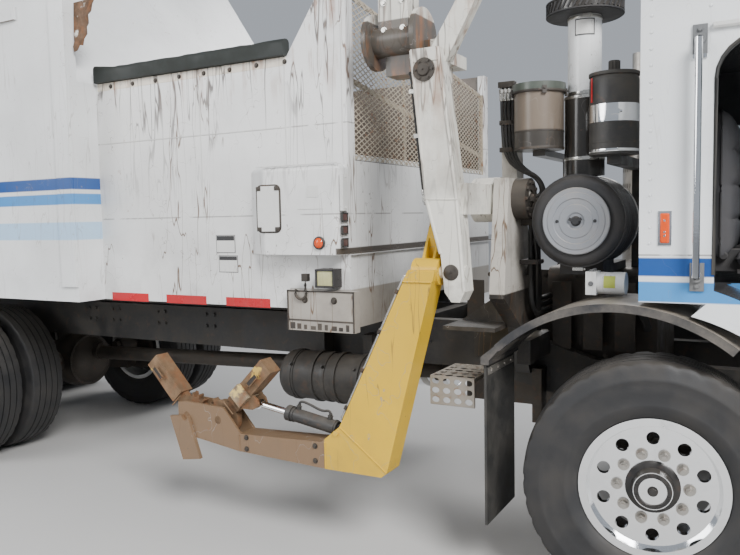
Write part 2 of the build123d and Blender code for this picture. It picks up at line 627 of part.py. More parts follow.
with BuildPart() as grab_handles:
    for name, side in SIDES:
        bar_along_z(GRAB_X, side * GRAB_Y, 1430, 2330, 14)
        for height in (1440, 2300):
            bar_along_y(GRAB_X, height, side * (CAB_HALF_WIDTH + SEAT_GAP), side * GRAB_Y, 12)
            block((GRAB_X - 25, GRAB_X + 25),
                  (side * (CAB_HALF_WIDTH + SEAT_GAP), side * (CAB_HALF_WIDTH + 8)),
                  (height - 40, height + 40))
grab_handles.part.label = "grab_handles"
export_step(grab_handles.part, "parts/grab_handles.step")

with BuildPart() as headlamps:
    for name, side in SIDES:
        block((CAB_FRONT + SEAT_GAP, CAB_FRONT + 40), (side * 760, side * 1060), (900, 1060))
        block((CAB_FRONT + SEAT_GAP, CAB_FRONT + 36), (side * 1070, side * 1170), (900, 1060))
headlamps.part.label = "headlamps"
export_step(headlamps.part, "parts/headlamps.step")

# Fenders and flaps

FENDER_STEEL = 14.0
FENDER_LIP = 34.0
FENDER_INNER_Y = 760.0
FENDER_OUTER_Y = 1205.0
# The fender's arc: behind the tyre, over it, and ahead of it under the cab
FENDER_ARC = ((-615.0, 1111.0), (-161.0, 1312.0), (359.0, 1156.0))
FLAP_X = -668.0


def fender_outline(steel):
    """Band this thick under the fender's arc."""
    top = from_front_axle(FENDER_ARC)
    with BuildLine() as edge:
        crown = ThreePointArc(*top)
        under = crown.arc_center
        inner = [under + (Vector(x, z) - under) * (1 - steel / crown.radius) for x, z in top]
        ThreePointArc(*inner)
        Line(top[0], inner[0])
        Line(top[2], inner[2])
    make_face(edge.edges())


with BuildPart() as fenders:
    for name, side in SIDES:
        inner_y, outer_y = side * FENDER_INNER_Y, side * FENDER_OUTER_Y
        with BuildSketch(Plane.XZ.offset(-max(inner_y, outer_y))) as skin:
            fender_outline(FENDER_STEEL)
        extrude(skin.sketch, amount=FENDER_OUTER_Y - FENDER_INNER_Y)
        lip_y = side * (FENDER_OUTER_Y - FENDER_STEEL)
        with BuildSketch(Plane.XZ.offset(-max(lip_y, outer_y))) as lip:
            fender_outline(FENDER_LIP)
        extrude(lip.sketch, amount=FENDER_STEEL)
        side_plate([(FLAP_X - 10, 1020), (FLAP_X - 10, 1055), (-612, 1108), (-560, 1138), (-560, 1118),
                    (-600, 1085), (-640, 1040), (-640, 1020)], inner_y, outer_y)
        block((FLAP_X + 20, -580), (side * (RAIL_Y + SEAT_GAP), side * (FENDER_INNER_Y + 20)), (950, 1070))
fenders.part.label = "fenders"
export_step(fenders.part, "parts/fenders.step")

FLAP_THICKNESS = 12.0

with BuildPart() as mudflaps:
    for name, side in SIDES:
        block((FLAP_X, FLAP_X + FLAP_THICKNESS), (side * 800, side * 1190), (280, 1020 - SEAT_GAP))
        block((BODY_REAR + 260, BODY_REAR + 260 + FLAP_THICKNESS), (side * 600, side * 1200),
              (260, RAIL_TOP - 60))
        block((BODY_REAR + 260, BODY_REAR + 300), (side * (RAIL_Y + SEAT_GAP), side * 620),
              (RAIL_TOP - 130, RAIL_TOP - 60))
mudflaps.part.label = "mudflaps"
export_step(mudflaps.part, "parts/mudflaps.step")

with BuildPart() as side_step:
    block((-985, -755), (-1080, -760), (905, 925))
    block((-985, -755), (-1080, -1064), (780, 925))
    block((-840, -790), (-780, -RAIL_Y - SEAT_GAP), (860, 905))
side_step.part.label = "side_step"
export_step(side_step.part, "parts/side_step.step")

# Engine bay behind the cab

AIR_CLEANER_RADIUS = 211.0
AIR_CLEANER_Z = 1650.0
AIR_CLEANER_X = -328.0

with BuildPart() as air_cleaner:
    bar_along_y(AIR_CLEANER_X, AIR_CLEANER_Z, -900, -520, AIR_CLEANER_RADIUS)
    fillet(air_cleaner.edges().group_by(Axis.Y)[0], radius=40)
    bar_along_y(AIR_CLEANER_X, AIR_CLEANER_Z, -912, -880, 150)
    block((-430, -230), (-800, -560), (1400 + SEAT_GAP, 1500))
    block((-430, -230), (-800, -250), (1400 + SEAT_GAP, 1440))
air_cleaner.part.label = "air_cleaner"
export_step(air_cleaner.part, "parts/air_cleaner.step")

STACK_X = -340.0
STACK_Y = -700.0
STACK_RADIUS = 77.0
STACK_TOP = 2640.0

with BuildPart() as intake_stack:
    bar_along_z(STACK_X, STACK_Y, AIR_CLEANER_Z + AIR_CLEANER_RADIUS + SEAT_GAP, STACK_TOP, STACK_RADIUS)
    bar_along_z(STACK_X, STACK_Y, AIR_CLEANER_Z + AIR_CLEANER_RADIUS + SEAT_GAP, 2230, STACK_RADIUS + 15)
    bar_along_z(STACK_X, STACK_Y, STACK_TOP - 40, STACK_TOP + 20, 172)
    bar_along_z(STACK_X, STACK_Y, STACK_TOP + 20, STACK_TOP + 110, 140)
intake_stack.part.label = "intake_stack"
export_step(intake_stack.part, "parts/intake_stack.step")

with BuildPart() as oil_canister:
    bar_along_z(-170, -880, 1938, 2300, 105)
    fillet(oil_canister.edges().group_by(Axis.Z)[-1], radius=45)
    bar_along_z(-170, -880, 2295, 2347, 22)
    block((-200, -140), (-880, -230), (1900, 1945))
    block((-200, -140), (-260, -200), (1400 + SEAT_GAP, 1945))
oil_canister.part.label = "oil_canister"
export_step(oil_canister.part, "parts/oil_canister.step")

with BuildPart() as fluid_canister:
    bar_along_z(-530, -800, 1985, 2250, 115)
    bar_along_z(-530, -800, 2250, 2290, 124)
    block((-560, -500), (-800, -230), (1960, 1990))
    block((-560, -500), (-250, -200), (1400 + SEAT_GAP, 1990))
fluid_canister.part.label = "fluid_canister"
export_step(fluid_canister.part, "parts/fluid_canister.step")

with BuildPart() as fuel_filter:
    bar_along_x(-900, 1372, -230, -110, 50)
    block((-276, -230), (-950, -850), (1322, 1425))
    block((-276, -230), (-870, -330 - SEAT_GAP), (1325, 1380))
fuel_filter.part.label = "fuel_filter"
export_step(fuel_filter.part, "parts/fuel_filter.step")

EXHAUST_X = -330.0
EXHAUST_Y = 820.0

with BuildPart() as exhaust_stack:
    bar_along_z(EXHAUST_X, EXHAUST_Y, 1350, 2300, 115)
    bar_along_z(EXHAUST_X, EXHAUST_Y, 1335, 2700, 60)
    block((EXHAUST_X - 30, EXHAUST_X + 30), (330 + SEAT_GAP, EXHAUST_Y), (1335, 1385))
exhaust_stack.part.label = "exhaust_stack"
export_step(exhaust_stack.part, "parts/exhaust_stack.step")

# Arm mast and actuator

MAST_X = (-725.0, -650.0)
POST_FOOT = 1830.0
POST_TOP = 2330.0
ACTUATOR_RADIUS = 100.0
VALVE_Y = (-705.0, -590.0)
VALVE_Z = 1630.0

with BuildPart() as arm_mast:
    cross_plate(
        [(-RAIL_Y - SEAT_GAP, 860), (-RAIL_Y - SEAT_GAP, 1300), (-560, 1500), (LIFT_PIVOT_Y + 120, 1860),
         (LIFT_PIVOT_Y - 120, 1860), (-960, 1290), (-700, 1120), (-560, 860)],
        MAST_X[0], MAST_X[1],
    )
    side_plate([(MAST_X[0], POST_FOOT), (MAST_X[1], POST_FOOT), (MAST_X[1] - 20, POST_TOP),
                (MAST_X[0] - 8, POST_TOP)], LIFT_PIVOT_Y, LIFT_PIVOT_Y + 110)
    block((-1000, MAST_X[0]), (-880, -RAIL_Y - SEAT_GAP), (1115, 1135))
    side_plate([(-1000, 1130), (MAST_X[0] + 10, 1130), (MAST_X[0] + 10, 1330)], -640, -620)
    block((-1000, MAST_X[0]), (-RAIL_Y - SEAT_GAP - 20, -RAIL_Y - SEAT_GAP), (910, 1135))
    bar_along_x(LIFT_PIVOT_Y, LIFT_PIVOT_Z, MAST_X[0] - 1, MAST_X[1] + 1, LIFT_SHAFT_RADIUS + PIN_GAP,
                mode=Mode.SUBTRACT)
arm_mast.part.label = "arm_mast"
export_step(arm_mast.part, "parts/arm_mast.step")

with BuildPart() as rotary_actuator:
    bar_along_x(LIFT_PIVOT_Y, LIFT_PIVOT_Z, MAST_X[1] + SEAT_GAP, MAST_X[1] + 70, ACTUATOR_RADIUS)
    bar_along_x(LIFT_PIVOT_Y, LIFT_PIVOT_Z, MAST_X[1] + SEAT_GAP - 1, MAST_X[1] + 71,
                LIFT_SHAFT_RADIUS + PIN_GAP, mode=Mode.SUBTRACT)
    block((MAST_X[1] + SEAT_GAP, MAST_X[1] + 70), VALVE_Y, (VALVE_Z, VALVE_Z + 70))
rotary_actuator.part.label = "rotary_actuator"
export_step(rotary_actuator.part, "parts/rotary_actuator.step")

# Lift arm

BLADE_OUTLINE = [
    (-985.0, 2430.0), (-850.0, 2430.0), (-768.0, 1755.0), (-737.0, 1346.0),
    (-760.0, 1300.0), (-800.0, 1300.0), (-832.0, 1343.0), (-850.0, 1515.0), (-917.0, 1760.0),
]
HEAD_PIVOT_X = (-1300.0, -1020.0)
HEAD_PIVOT_Y = -1000.0
HEAD_PIVOT_Z = 2540.0
HEAD_PIVOT_RADIUS = 75.0
HEAD_FLANGE = 24.0
HEAD_FLANGE_RADIUS = 135.0
REACH_BASE_Y = -1060.0
REACH_BASE_Z = 2330.0
REACH_EYE_Y = -1085.0
REACH_EYE_Z = 1670.0
REACH_X = -925.0
REACH_BARREL_RADIUS = 36.0
REACH_ROD_RADIUS = 20.0
REACH_PIN_RADIUS = 16.0

with BuildPart() as lift_arm:
    side_plate(BLADE_OUTLINE, BLADE_Y - BLADE_THICKNESS / 2, BLADE_Y + BLADE_THICKNESS / 2)
    block((-850, -740), (BLADE_Y, LIFT_PIVOT_Y), (1690, 1830))
    bar_along_x(LIFT_PIVOT_Y, LIFT_PIVOT_Z, -860, MAST_X[0] - 5, 110)
    bar_along_x(LIFT_PIVOT_Y, LIFT_PIVOT_Z, MAST_X[0] - 10, MAST_X[1] + 60, LIFT_SHAFT_RADIUS)
    side_plate([(-985, 2330), (-890, 2290), (-690, 2640), (-780, 2650)],
               BLADE_Y + 10, BLADE_Y + 80)
    block((-1000, -840), (-1135, -930), (2372, 2430))
    block((-1230, -940), (-1010, -880), (2372, 2520))
    bar_along_x(HEAD_PIVOT_Y, HEAD_PIVOT_Z, HEAD_PIVOT_X[0], HEAD_PIVOT_X[1], HEAD_PIVOT_RADIUS)
    for flange_x in (HEAD_PIVOT_X[0], HEAD_PIVOT_X[1] - HEAD_FLANGE):
        bar_along_x(HEAD_PIVOT_Y, HEAD_PIVOT_Z, flange_x, flange_x + HEAD_FLANGE, HEAD_FLANGE_RADIUS)
    block((HEAD_PIVOT_X[0] + 60, HEAD_PIVOT_X[1] - 60), (HEAD_PIVOT_Y - 60, HEAD_PIVOT_Y + 60),
          (HEAD_PIVOT_Z, HEAD_PIVOT_Z + 210))
    side_plate([(-1090, 2400), (-1055, 2400), (-985, 1800), (-1015, 1800)], -1038, -1003)
    for plate_x in (REACH_X - 52, REACH_X + 42):
        block((plate_x, plate_x + 10), (REACH_BASE_Y - 40, REACH_BASE_Y + 40), (REACH_BASE_Z - 30, 2380))
    bar_along_x(BOOM_PIVOT_Y, BOOM_PIVOT_Z, -1000, -737, BOOM_PIN_RADIUS)
    bar_along_x(REACH_BASE_Y, REACH_BASE_Z, REACH_X - 52, REACH_X + 52, REACH_PIN_RADIUS)
lift_arm.part.label = "lift_arm"
export_step(lift_arm.part, "parts/lift_arm.step")

# Boom with its rearward gripper beam

BOOM_OUTLINE = [
    (-990.0, 1445.0), (-862.0, 1445.0), (-1120.0, 480.0), (-1150.0, 455.0), (-1458.0, 452.0),
    (-2000.0, 468.0), (-2000.0, 562.0), (-1483.0, 585.0), (-1376.0, 674.0),
]
BOOM_LOW_Y = BOOM_Y - BOOM_THICKNESS / 2
BOOM_HIGH_Y = BOOM_Y + BOOM_THICKNESS / 2
FORK_STEEL = 14.0
BOOM_HUB_RADIUS = 62.0
LEVER_WEB_Y = -1152.0
GRIP_SLOT = 82.0
GRIP_PIN_RADIUS = 14.0
REAR_GEAR_X = GEAR_X - 2 * GEAR_PITCH_RADIUS
GRIP_BASE_X = -1395.0
GRIP_BASE_Z = 640.0
GRIP_EYE_X = -1905.0
GRIP_EYE_Z = 720.0

with BuildPart() as boom:
    side_plate(BOOM_OUTLINE, BOOM_LOW_Y, BOOM_HIGH_Y)
    bar_along_x(BOOM_PIVOT_Y, BOOM_PIVOT_Z, -990, -862, BOOM_HUB_RADIUS)
    for plate_x in (REACH_X - 32, REACH_X + 20):
        cross_plate(
            [(BOOM_PIVOT_Y - 40, BOOM_PIVOT_Z), (BOOM_PIVOT_Y + 40, BOOM_PIVOT_Z - 20),
             (REACH_EYE_Y + 26, REACH_EYE_Z - 20), (REACH_EYE_Y + 26, REACH_EYE_Z + 26),
             (REACH_EYE_Y - 26, REACH_EYE_Z + 26), (REACH_EYE_Y - 32, REACH_EYE_Z - 20)],
            plate_x, plate_x + 12,
        )
    side_plate([(-990, BOOM_PIVOT_Z), (-872, BOOM_PIVOT_Z), (-872, 1550), (-898, 1635), (-943, 1635)],
               LEVER_WEB_Y, LEVER_WEB_Y + 14)
    bar_along_x(BOOM_PIVOT_Y, BOOM_PIVOT_Z, -1020, -850, BOOM_PIN_RADIUS + PIN_GAP, mode=Mode.SUBTRACT)
    for edge in (BOOM_LOW_Y, BOOM_HIGH_Y - FORK_STEEL):
        side_plate(
            [(-1990, 466), (-2420, 520), (-2420, 690), (-2360, 700), (-2100, 690), (-1990, 562)],
            edge, edge + FORK_STEEL,
        )
    side_plate([(-2466, 612), (-2340, 628), (-2258, 395), (-2382, 375)], BOOM_LOW_Y - 20, BOOM_LOW_Y + 2)
    for gear_x in (GEAR_X, REAR_GEAR_X):
        bar_along_y(gear_x, GEAR_Z, BOOM_LOW_Y - 21, BOOM_HIGH_Y + 1, FINGER_PIN_RADIUS + PIN_GAP,
                    mode=Mode.SUBTRACT)
    block((GRIP_BASE_X - 130, GRIP_BASE_X + 50), (BOOM_Y - GRIP_SLOT / 2, BOOM_Y + GRIP_SLOT / 2),
          (GRIP_BASE_Z - 45, GRIP_BASE_Z + 60), mode=Mode.SUBTRACT)
    bar_along_y(GRIP_BASE_X, GRIP_BASE_Z, BOOM_LOW_Y - 10, BOOM_HIGH_Y + 10, GRIP_PIN_RADIUS)
boom.part.label = "boom"
export_step(boom.part, "parts/boom.step")

# Gripper fingers, meshed by their sector gears

TOOTH_ROOT_WIDTH = 20.0
TOOTH_TIP_WIDTH = 9.0
TOOTH_ADDENDUM = 10.0
TOOTH_DEDENDUM = 13.0
SECTOR_TEETH = 7
FRONT_FIRST_TOOTH_DEG = 125.0
REAR_FIRST_TOOTH_DEG = -35.0
FRONT_FINGER_DEG = 45.0
REAR_FINGER_DEG = 133.0
FRONT_FINGER_LENGTH = 440.0
REAR_FINGER_LENGTH = 390.0


def gear_plane(x):
    """Working plane on a gear's near face, its normal towards the right."""
    return Plane(origin=(ahead(x), BOOM_Y + GEAR_THICKNESS / 2, GEAR_Z), x_dir=(1, 0, 0), z_dir=(0, -1, 0))


def sector_gear(x, first_tooth_deg):
    """Disc with a sector of teeth that starts at an angle from straight ahead."""
    root = GEAR_PITCH_RADIUS - TOOTH_DEDENDUM
    with BuildSketch(gear_plane(x)) as disc:
        Circle(root)
        pitch = 360.0 / GEAR_TEETH
        with PolarLocations(root, SECTOR_TEETH, start_angle=first_tooth_deg,
                            angular_range=pitch * SECTOR_TEETH, endpoint=False):
            Polygon((-4, -TOOTH_ROOT_WIDTH / 2), (TOOTH_DEDENDUM + TOOTH_ADDENDUM, -TOOTH_TIP_WIDTH / 2),
                    (TOOTH_DEDENDUM + TOOTH_ADDENDUM, TOOTH_TIP_WIDTH / 2), (-4, TOOTH_ROOT_WIDTH / 2),
                    align=None)
    extrude(disc.sketch, amount=GEAR_THICKNESS)


def finger_tube(x, angle_deg, length):
    """Square tube that stands on a gear at an angle from straight ahead."""
    direction = Vector(cos(radians(angle_deg)), 0, sin(radians(angle_deg)))
    origin = Vector(ahead(x), BOOM_Y, GEAR_Z)
    with BuildSketch(Plane(origin=origin + direction * 125, x_dir=(0, 1, 0), z_dir=direction)) as section:
        Rectangle(FINGER_SIZE, FINGER_SIZE)
    extrude(section.sketch, amount=length - 125)
    with BuildSketch(Plane(origin=origin, x_dir=(0, 1, 0), z_dir=direction)) as root:
        Rectangle(GEAR_THICKNESS, FINGER_SIZE - 20)
    extrude(root.sketch, amount=160)


with BuildPart() as finger_front:
    sector_gear(GEAR_X, FRONT_FIRST_TOOTH_DEG)
    finger_tube(GEAR_X, FRONT_FINGER_DEG, FRONT_FINGER_LENGTH)
    for edge in (BOOM_Y - 40, BOOM_Y + 28):
        side_plate([(-2040, 690), (-1925, 692), (-1880, 715), (-1892, 750), (-1960, 800), (-1990, 810)],
                   edge, edge + 12)
    bar_along_y(GEAR_X, GEAR_Z, BOOM_LOW_Y, BOOM_HIGH_Y, FINGER_PIN_RADIUS)
finger_front.part.label = "finger_front"
export_step(finger_front.part, "parts/finger_front.step")

with BuildPart() as finger_rear:
    sector_gear(REAR_GEAR_X, REAR_FIRST_TOOTH_DEG)
    finger_tube(REAR_GEAR_X, REAR_FINGER_DEG, REAR_FINGER_LENGTH)
    bar_along_y(REAR_GEAR_X, GEAR_Z, BOOM_LOW_Y, BOOM_HIGH_Y, FINGER_PIN_RADIUS)
finger_rear.part.label = "finger_rear"
export_step(finger_rear.part, "parts/finger_rear.step")

GRIP_BARREL_RADIUS = 35.0
GRIP_ROD_RADIUS = 18.0
GRIP_BARREL_LENGTH = 330.0
grip_axis = Vector(GRIP_EYE_X - GRIP_BASE_X, 0, GRIP_EYE_Z - GRIP_BASE_Z)
grip_unit = grip_axis.normalized()


def along_grip(distance):
    """Point on the grip cylinder's axis, measured from its base pin."""
    return (GRIP_BASE_X + grip_unit.X * distance, BOOM_Y, GRIP_BASE_Z + grip_unit.Z * distance)


with BuildPart() as grip_barrel:
    bar_between(along_grip(30), along_grip(GRIP_BARREL_LENGTH), GRIP_BARREL_RADIUS)
    bar_along_y(GRIP_BASE_X, GRIP_BASE_Z, BOOM_Y - 18, BOOM_Y + 18, 32)
    bar_between(along_grip(120), along_grip(GRIP_BARREL_LENGTH + 1), GRIP_ROD_RADIUS + PIN_GAP,
                mode=Mode.SUBTRACT)
    bar_along_y(GRIP_BASE_X, GRIP_BASE_Z, BOOM_Y - 19, BOOM_Y + 19, GRIP_PIN_RADIUS + PIN_GAP,
                mode=Mode.SUBTRACT)
grip_barrel.part.label = "grip_barrel"
export_step(grip_barrel.part, "parts/grip_barrel.step")

with BuildPart() as grip_rod:
    bar_between(along_grip(150), along_grip(grip_axis.length), GRIP_ROD_RADIUS)
    bar_along_y(GRIP_EYE_X, GRIP_EYE_Z, BOOM_Y - 16, BOOM_Y + 16, 24)
grip_rod.part.label = "grip_rod"
export_step(grip_rod.part, "parts/grip_rod.step")

reach_axis = Vector(0, REACH_EYE_Y - REACH_BASE_Y, REACH_EYE_Z - REACH_BASE_Z)
reach_unit = reach_axis.normalized()
REACH_BARREL_LENGTH = 440.0


def along_reach(distance):
    """Point on the reach cylinder's axis, measured from its base pin."""
    return (REACH_X, REACH_BASE_Y + reach_unit.Y * distance, REACH_BASE_Z + reach_unit.Z * distance)


with BuildPart() as reach_barrel:
    bar_between(along_reach(30), along_reach(REACH_BARREL_LENGTH), REACH_BARREL_RADIUS)
    bar_along_x(REACH_BASE_Y, REACH_BASE_Z, REACH_X - 22, REACH_X + 22, 34)
    bar_between(along_reach(100), along_reach(REACH_BARREL_LENGTH + 1), REACH_ROD_RADIUS + PIN_GAP,
                mode=Mode.SUBTRACT)
    bar_along_x(REACH_BASE_Y, REACH_BASE_Z, REACH_X - 23, REACH_X + 23, REACH_PIN_RADIUS + PIN_GAP,
                mode=Mode.SUBTRACT)
reach_barrel.part.label = "reach_barrel"
export_step(reach_barrel.part, "parts/reach_barrel.step")

with BuildPart() as reach_rod:
    bar_between(along_reach(150), along_reach(reach_axis.length), REACH_ROD_RADIUS)
    bar_along_x(REACH_EYE_Y, REACH_EYE_Z, REACH_X - 16, REACH_X + 16, 28)
reach_rod.part.label = "reach_rod"
export_step(reach_rod.part, "parts/reach_rod.step")

HOSE_RADIUS = 13.0

with BuildPart() as arm_hoses:
    # Place across the truck, and height where it meets the engine, of each hose
    for hose_y, end_z in ((-612.0, 1250.0), (-648.0, 1214.0), (-684.0, 1178.0)):
        hose_x = ahead(MAST_X[1] + 45)
        with BuildLine() as route:
            FilletPolyline((hose_x, hose_y, VALVE_Z - SEAT_GAP), (hose_x, hose_y, end_z),
                           (hose_x, -330.0 - SEAT_GAP, end_z), radius=120)
        with BuildSketch(Plane(origin=route.line @ 0, z_dir=route.line % 0)) as section:
            Circle(HOSE_RADIUS)
        sweep(section.sketch, path=route.line)
arm_hoses.part.label = "arm_hoses"
export_step(arm_hoses.part, "parts/arm_hoses.step")

# Tipping body

HOIST_LUG_GAP = 30.0
HOIST_LUG_STEEL = 16.0
SILL_CROSS_MEMBERS = (-1600.0, -2600.0, -3300.0, -4100.0, -6400.0, -6900.0)

with BuildPart() as body_sills:
    for name, side in SIDES:
        side_plate(
            [(HINGE_X, SILL_BOTTOM), (HOPPER_FRONT - 40, SILL_BOTTOM),
             (HOPPER_FRONT - 40, FLOOR_BOTTOM - SEAT_GAP), (HINGE_X, FLOOR_BOTTOM - SEAT_GAP)],
            side * (RAIL_Y - 90), side * (RAIL_Y - 5),
        )
        bar_along_y(HINGE_X, HINGE_Z, side * (RAIL_Y - 90), side * (RAIL_Y - 5), HINGE_Z - SILL_BOTTOM)
        bar_along_y(HINGE_X, HINGE_Z, side * (RAIL_Y - 91), side * (RAIL_Y - 4),
                    HINGE_PIN_RADIUS + PIN_GAP, mode=Mode.SUBTRACT)
        for lug_y in (HOIST_Y - HOIST_LUG_GAP - HOIST_LUG_STEEL, HOIST_Y + HOIST_LUG_GAP):
            side_plate(
                [(HOIST_EYE[0] - 90, FLOOR_BOTTOM - 15), (HOIST_EYE[0] + 90, FLOOR_BOTTOM - 15),
                 (HOIST_EYE[0] + 45, HOIST_EYE[1] - 50), (HOIST_EYE[0] - 45, HOIST_EYE[1] - 50)],
                side * lug_y, side * (lug_y + HOIST_LUG_STEEL),
            )
    for station in SILL_CROSS_MEMBERS:
        block((station - 40, station + 40), (-RAIL_Y + 50, RAIL_Y - 50),
              (SILL_BOTTOM + 10, FLOOR_BOTTOM - SEAT_GAP))
    block((HOIST_EYE[0] - 100, HOIST_EYE[0] + 100), (-RAIL_Y + 50, RAIL_Y - 50),
          (FLOOR_BOTTOM - 16, FLOOR_BOTTOM - SEAT_GAP))
body_sills.part.label = "body_sills"
export_step(body_sills.part, "parts/body_sills.step")

SHELF_Z = 1508.0

with BuildPart() as hopper_shell:
    side_plate(
        [(BODY_FRONT, FLOOR_BOTTOM), (HOPPER_FRONT, FLOOR_BOTTOM), (HOPPER_FRONT, HOPPER_CORNER_TOP),
         (-1590, HOPPER_CORNER_TOP), (-1814, HOPPER_SILL), (BODY_FRONT, HOPPER_SILL)],
        -HOPPER_HALF_WIDTH, -HOPPER_HALF_WIDTH + HOPPER_WALL,
    )
    side_plate(
        [(BODY_FRONT, FLOOR_BOTTOM), (HOPPER_FRONT, FLOOR_BOTTOM), (HOPPER_FRONT, HOPPER_LEFT_TOP),
         (BODY_FRONT, HOPPER_LEFT_TOP)],
        HOPPER_HALF_WIDTH - HOPPER_WALL, HOPPER_HALF_WIDTH,
    )
    block((BODY_FRONT, HOPPER_FRONT), (-HOPPER_HALF_WIDTH, HOPPER_HALF_WIDTH),
          (FLOOR_BOTTOM, FLOOR_BOTTOM + FLOOR_STEEL))
    block((HOPPER_FRONT - HOPPER_WALL, HOPPER_FRONT), (-HOPPER_HALF_WIDTH, HOPPER_HALF_WIDTH),
          (FLOOR_BOTTOM, HOPPER_FACE_TOP))
    block((HOPPER_FRONT - 20, HOPPER_FRONT + 20), (-HOPPER_HALF_WIDTH, HOPPER_HALF_WIDTH),
          (SHELF_Z - 12, SHELF_Z))
    block((HOPPER_FRONT - 50, HOPPER_FRONT), (-HOPPER_HALF_WIDTH, -HOPPER_HALF_WIDTH + 70),
          (FLOOR_BOTTOM, HOPPER_CORNER_TOP))
    block((HOPPER_FRONT - 50, HOPPER_FRONT), (HOPPER_HALF_WIDTH - 70, HOPPER_HALF_WIDTH),
          (FLOOR_BOTTOM, HOPPER_LEFT_TOP))
    for name, side in SIDES:
        block((HOPPER_FRONT - 30, HOPPER_FRONT), (side * (RAIL_Y + 60), side * HOPPER_HALF_WIDTH),
              (1110, FLOOR_BOTTOM))
hopper_shell.part.label = "hopper_shell"
export_step(hopper_shell.part, "parts/hopper_shell.step")

BODY_OUTLINE = [
    (BODY_FRONT - SEAT_GAP, FLOOR_BOTTOM), (BODY_FRONT - SEAT_GAP, HOPPER_SILL),
    (HOOD_TOP_X, BODY_ROOF), (BODY_REAR, BODY_ROOF), (BODY_REAR, FLOOR_BOTTOM),
]
FRONT_OPENING_TOP = 2300.0
RIB_DEPTH = 18.0
BODY_RIBS = (-7245.0, -6200.0, -5100.0, -4100.0)
LEDGE_Z = (2950.0, 3030.0)

with BuildPart() as body_cavity:
    with BuildSketch(Plane.XZ.offset(-BODY_HALF_WIDTH + BODY_WALL)):
        with BuildLine():
            Polyline(*from_front_axle(BODY_OUTLINE), close=True)
        make_face()
        offset(amount=-BODY_WALL, kind=Kind.INTERSECTION, mode=Mode.REPLACE)
    extrude(amount=2 * (BODY_HALF_WIDTH - BODY_WALL))

with BuildPart() as body_shell:
    side_plate(BODY_OUTLINE, -BODY_HALF_WIDTH, BODY_HALF_WIDTH)
    add(body_cavity.part, mode=Mode.SUBTRACT)
    block((BODY_REAR - 1, BODY_REAR + BODY_WALL + 1),
          (-BODY_HALF_WIDTH + BODY_WALL, BODY_HALF_WIDTH - BODY_WALL),
          (FLOOR_BOTTOM + BODY_WALL, BODY_ROOF - BODY_WALL), mode=Mode.SUBTRACT)
    block((BODY_FRONT - BODY_WALL - 40, BODY_FRONT + 1),
          (-HOPPER_HALF_WIDTH + HOPPER_WALL, HOPPER_HALF_WIDTH - HOPPER_WALL),
          (FLOOR_BOTTOM + FLOOR_STEEL, FRONT_OPENING_TOP), mode=Mode.SUBTRACT)
    side_plate(
        [(BODY_FRONT - SEAT_GAP, HOPPER_SILL - 1), (BODY_FRONT - SEAT_GAP, 3050),
         (HOOD_TOP_X + 60, BODY_ROOF), (HOOD_TOP_X, BODY_ROOF)],
        -BODY_HALF_WIDTH, -BODY_HALF_WIDTH + BODY_WALL,
    )
    for name, side in SIDES:
        inner, outer = side * (BODY_HALF_WIDTH - 5), side * (BODY_HALF_WIDTH + RIB_DEPTH)
        block((BODY_REAR, -3700), (inner, outer + side * 2), LEDGE_Z)
        for station in BODY_RIBS:
            block((station - 50, station + 50), (inner, outer), (FLOOR_BOTTOM, BODY_ROOF))
    block((BODY_FRONT - 130, BODY_FRONT - SEAT_GAP),
          (-BODY_HALF_WIDTH - RIB_DEPTH, -BODY_HALF_WIDTH + 5), (1300, 3050))
    for name, side in SIDES:
        for offset_y in (500, 700):
            side_plate(
                [(BODY_REAR + 120, BODY_ROOF - 5), (BODY_REAR + 4, BODY_ROOF - 5),
                 (BODY_REAR + 4, TAILGATE_PIN_Z - 30), (BODY_REAR - 30, TAILGATE_PIN_Z - 30),
                 (BODY_REAR - 30, TAILGATE_PIN_Z + 36), (BODY_REAR + 120, BODY_ROOF + 20)],
                side * offset_y, side * (offset_y + 30),
            )
            bar_along_y(BODY_REAR - 30, TAILGATE_PIN_Z, side * offset_y, side * (offset_y + 30), 40)
        bar_along_y(BODY_REAR - 30, TAILGATE_PIN_Z, side * 500, side * 730, 20)
body_shell.part.label = "body_shell"
export_step(body_shell.part, "parts/body_shell.step")

with BuildPart() as sill_flap:
    side_plate(
        [(-3238, HOPPER_SILL + SEAT_GAP), (-1815, HOPPER_SILL + SEAT_GAP), (-1815, 2650), (-3238, 2565)],
        -HOPPER_HALF_WIDTH - 30, -HOPPER_HALF_WIDTH + 30,
    )
sill_flap.part.label = "sill_flap"
export_step(sill_flap.part, "parts/sill_flap.step")

with BuildPart() as mesh_guard:
    guard_side = HOPPER_HALF_WIDTH - 70 - SEAT_GAP
    guard_foot = HOPPER_FACE_TOP + SEAT_GAP
    cross_plate(
        [(-guard_side, guard_foot), (guard_side, guard_foot), (guard_side, 2560), (-guard_side, 2840)],
        HOPPER_FRONT - 30, HOPPER_FRONT - 10,
    )
mesh_guard.part.label = "mesh_guard"
export_step(mesh_guard.part, "parts/mesh_guard.step")

BULGE_Y = -1120.0
HOUSING_X = (-2070.0, -1450.0)
HOUSING_Z = (1500.0, 1962.0)

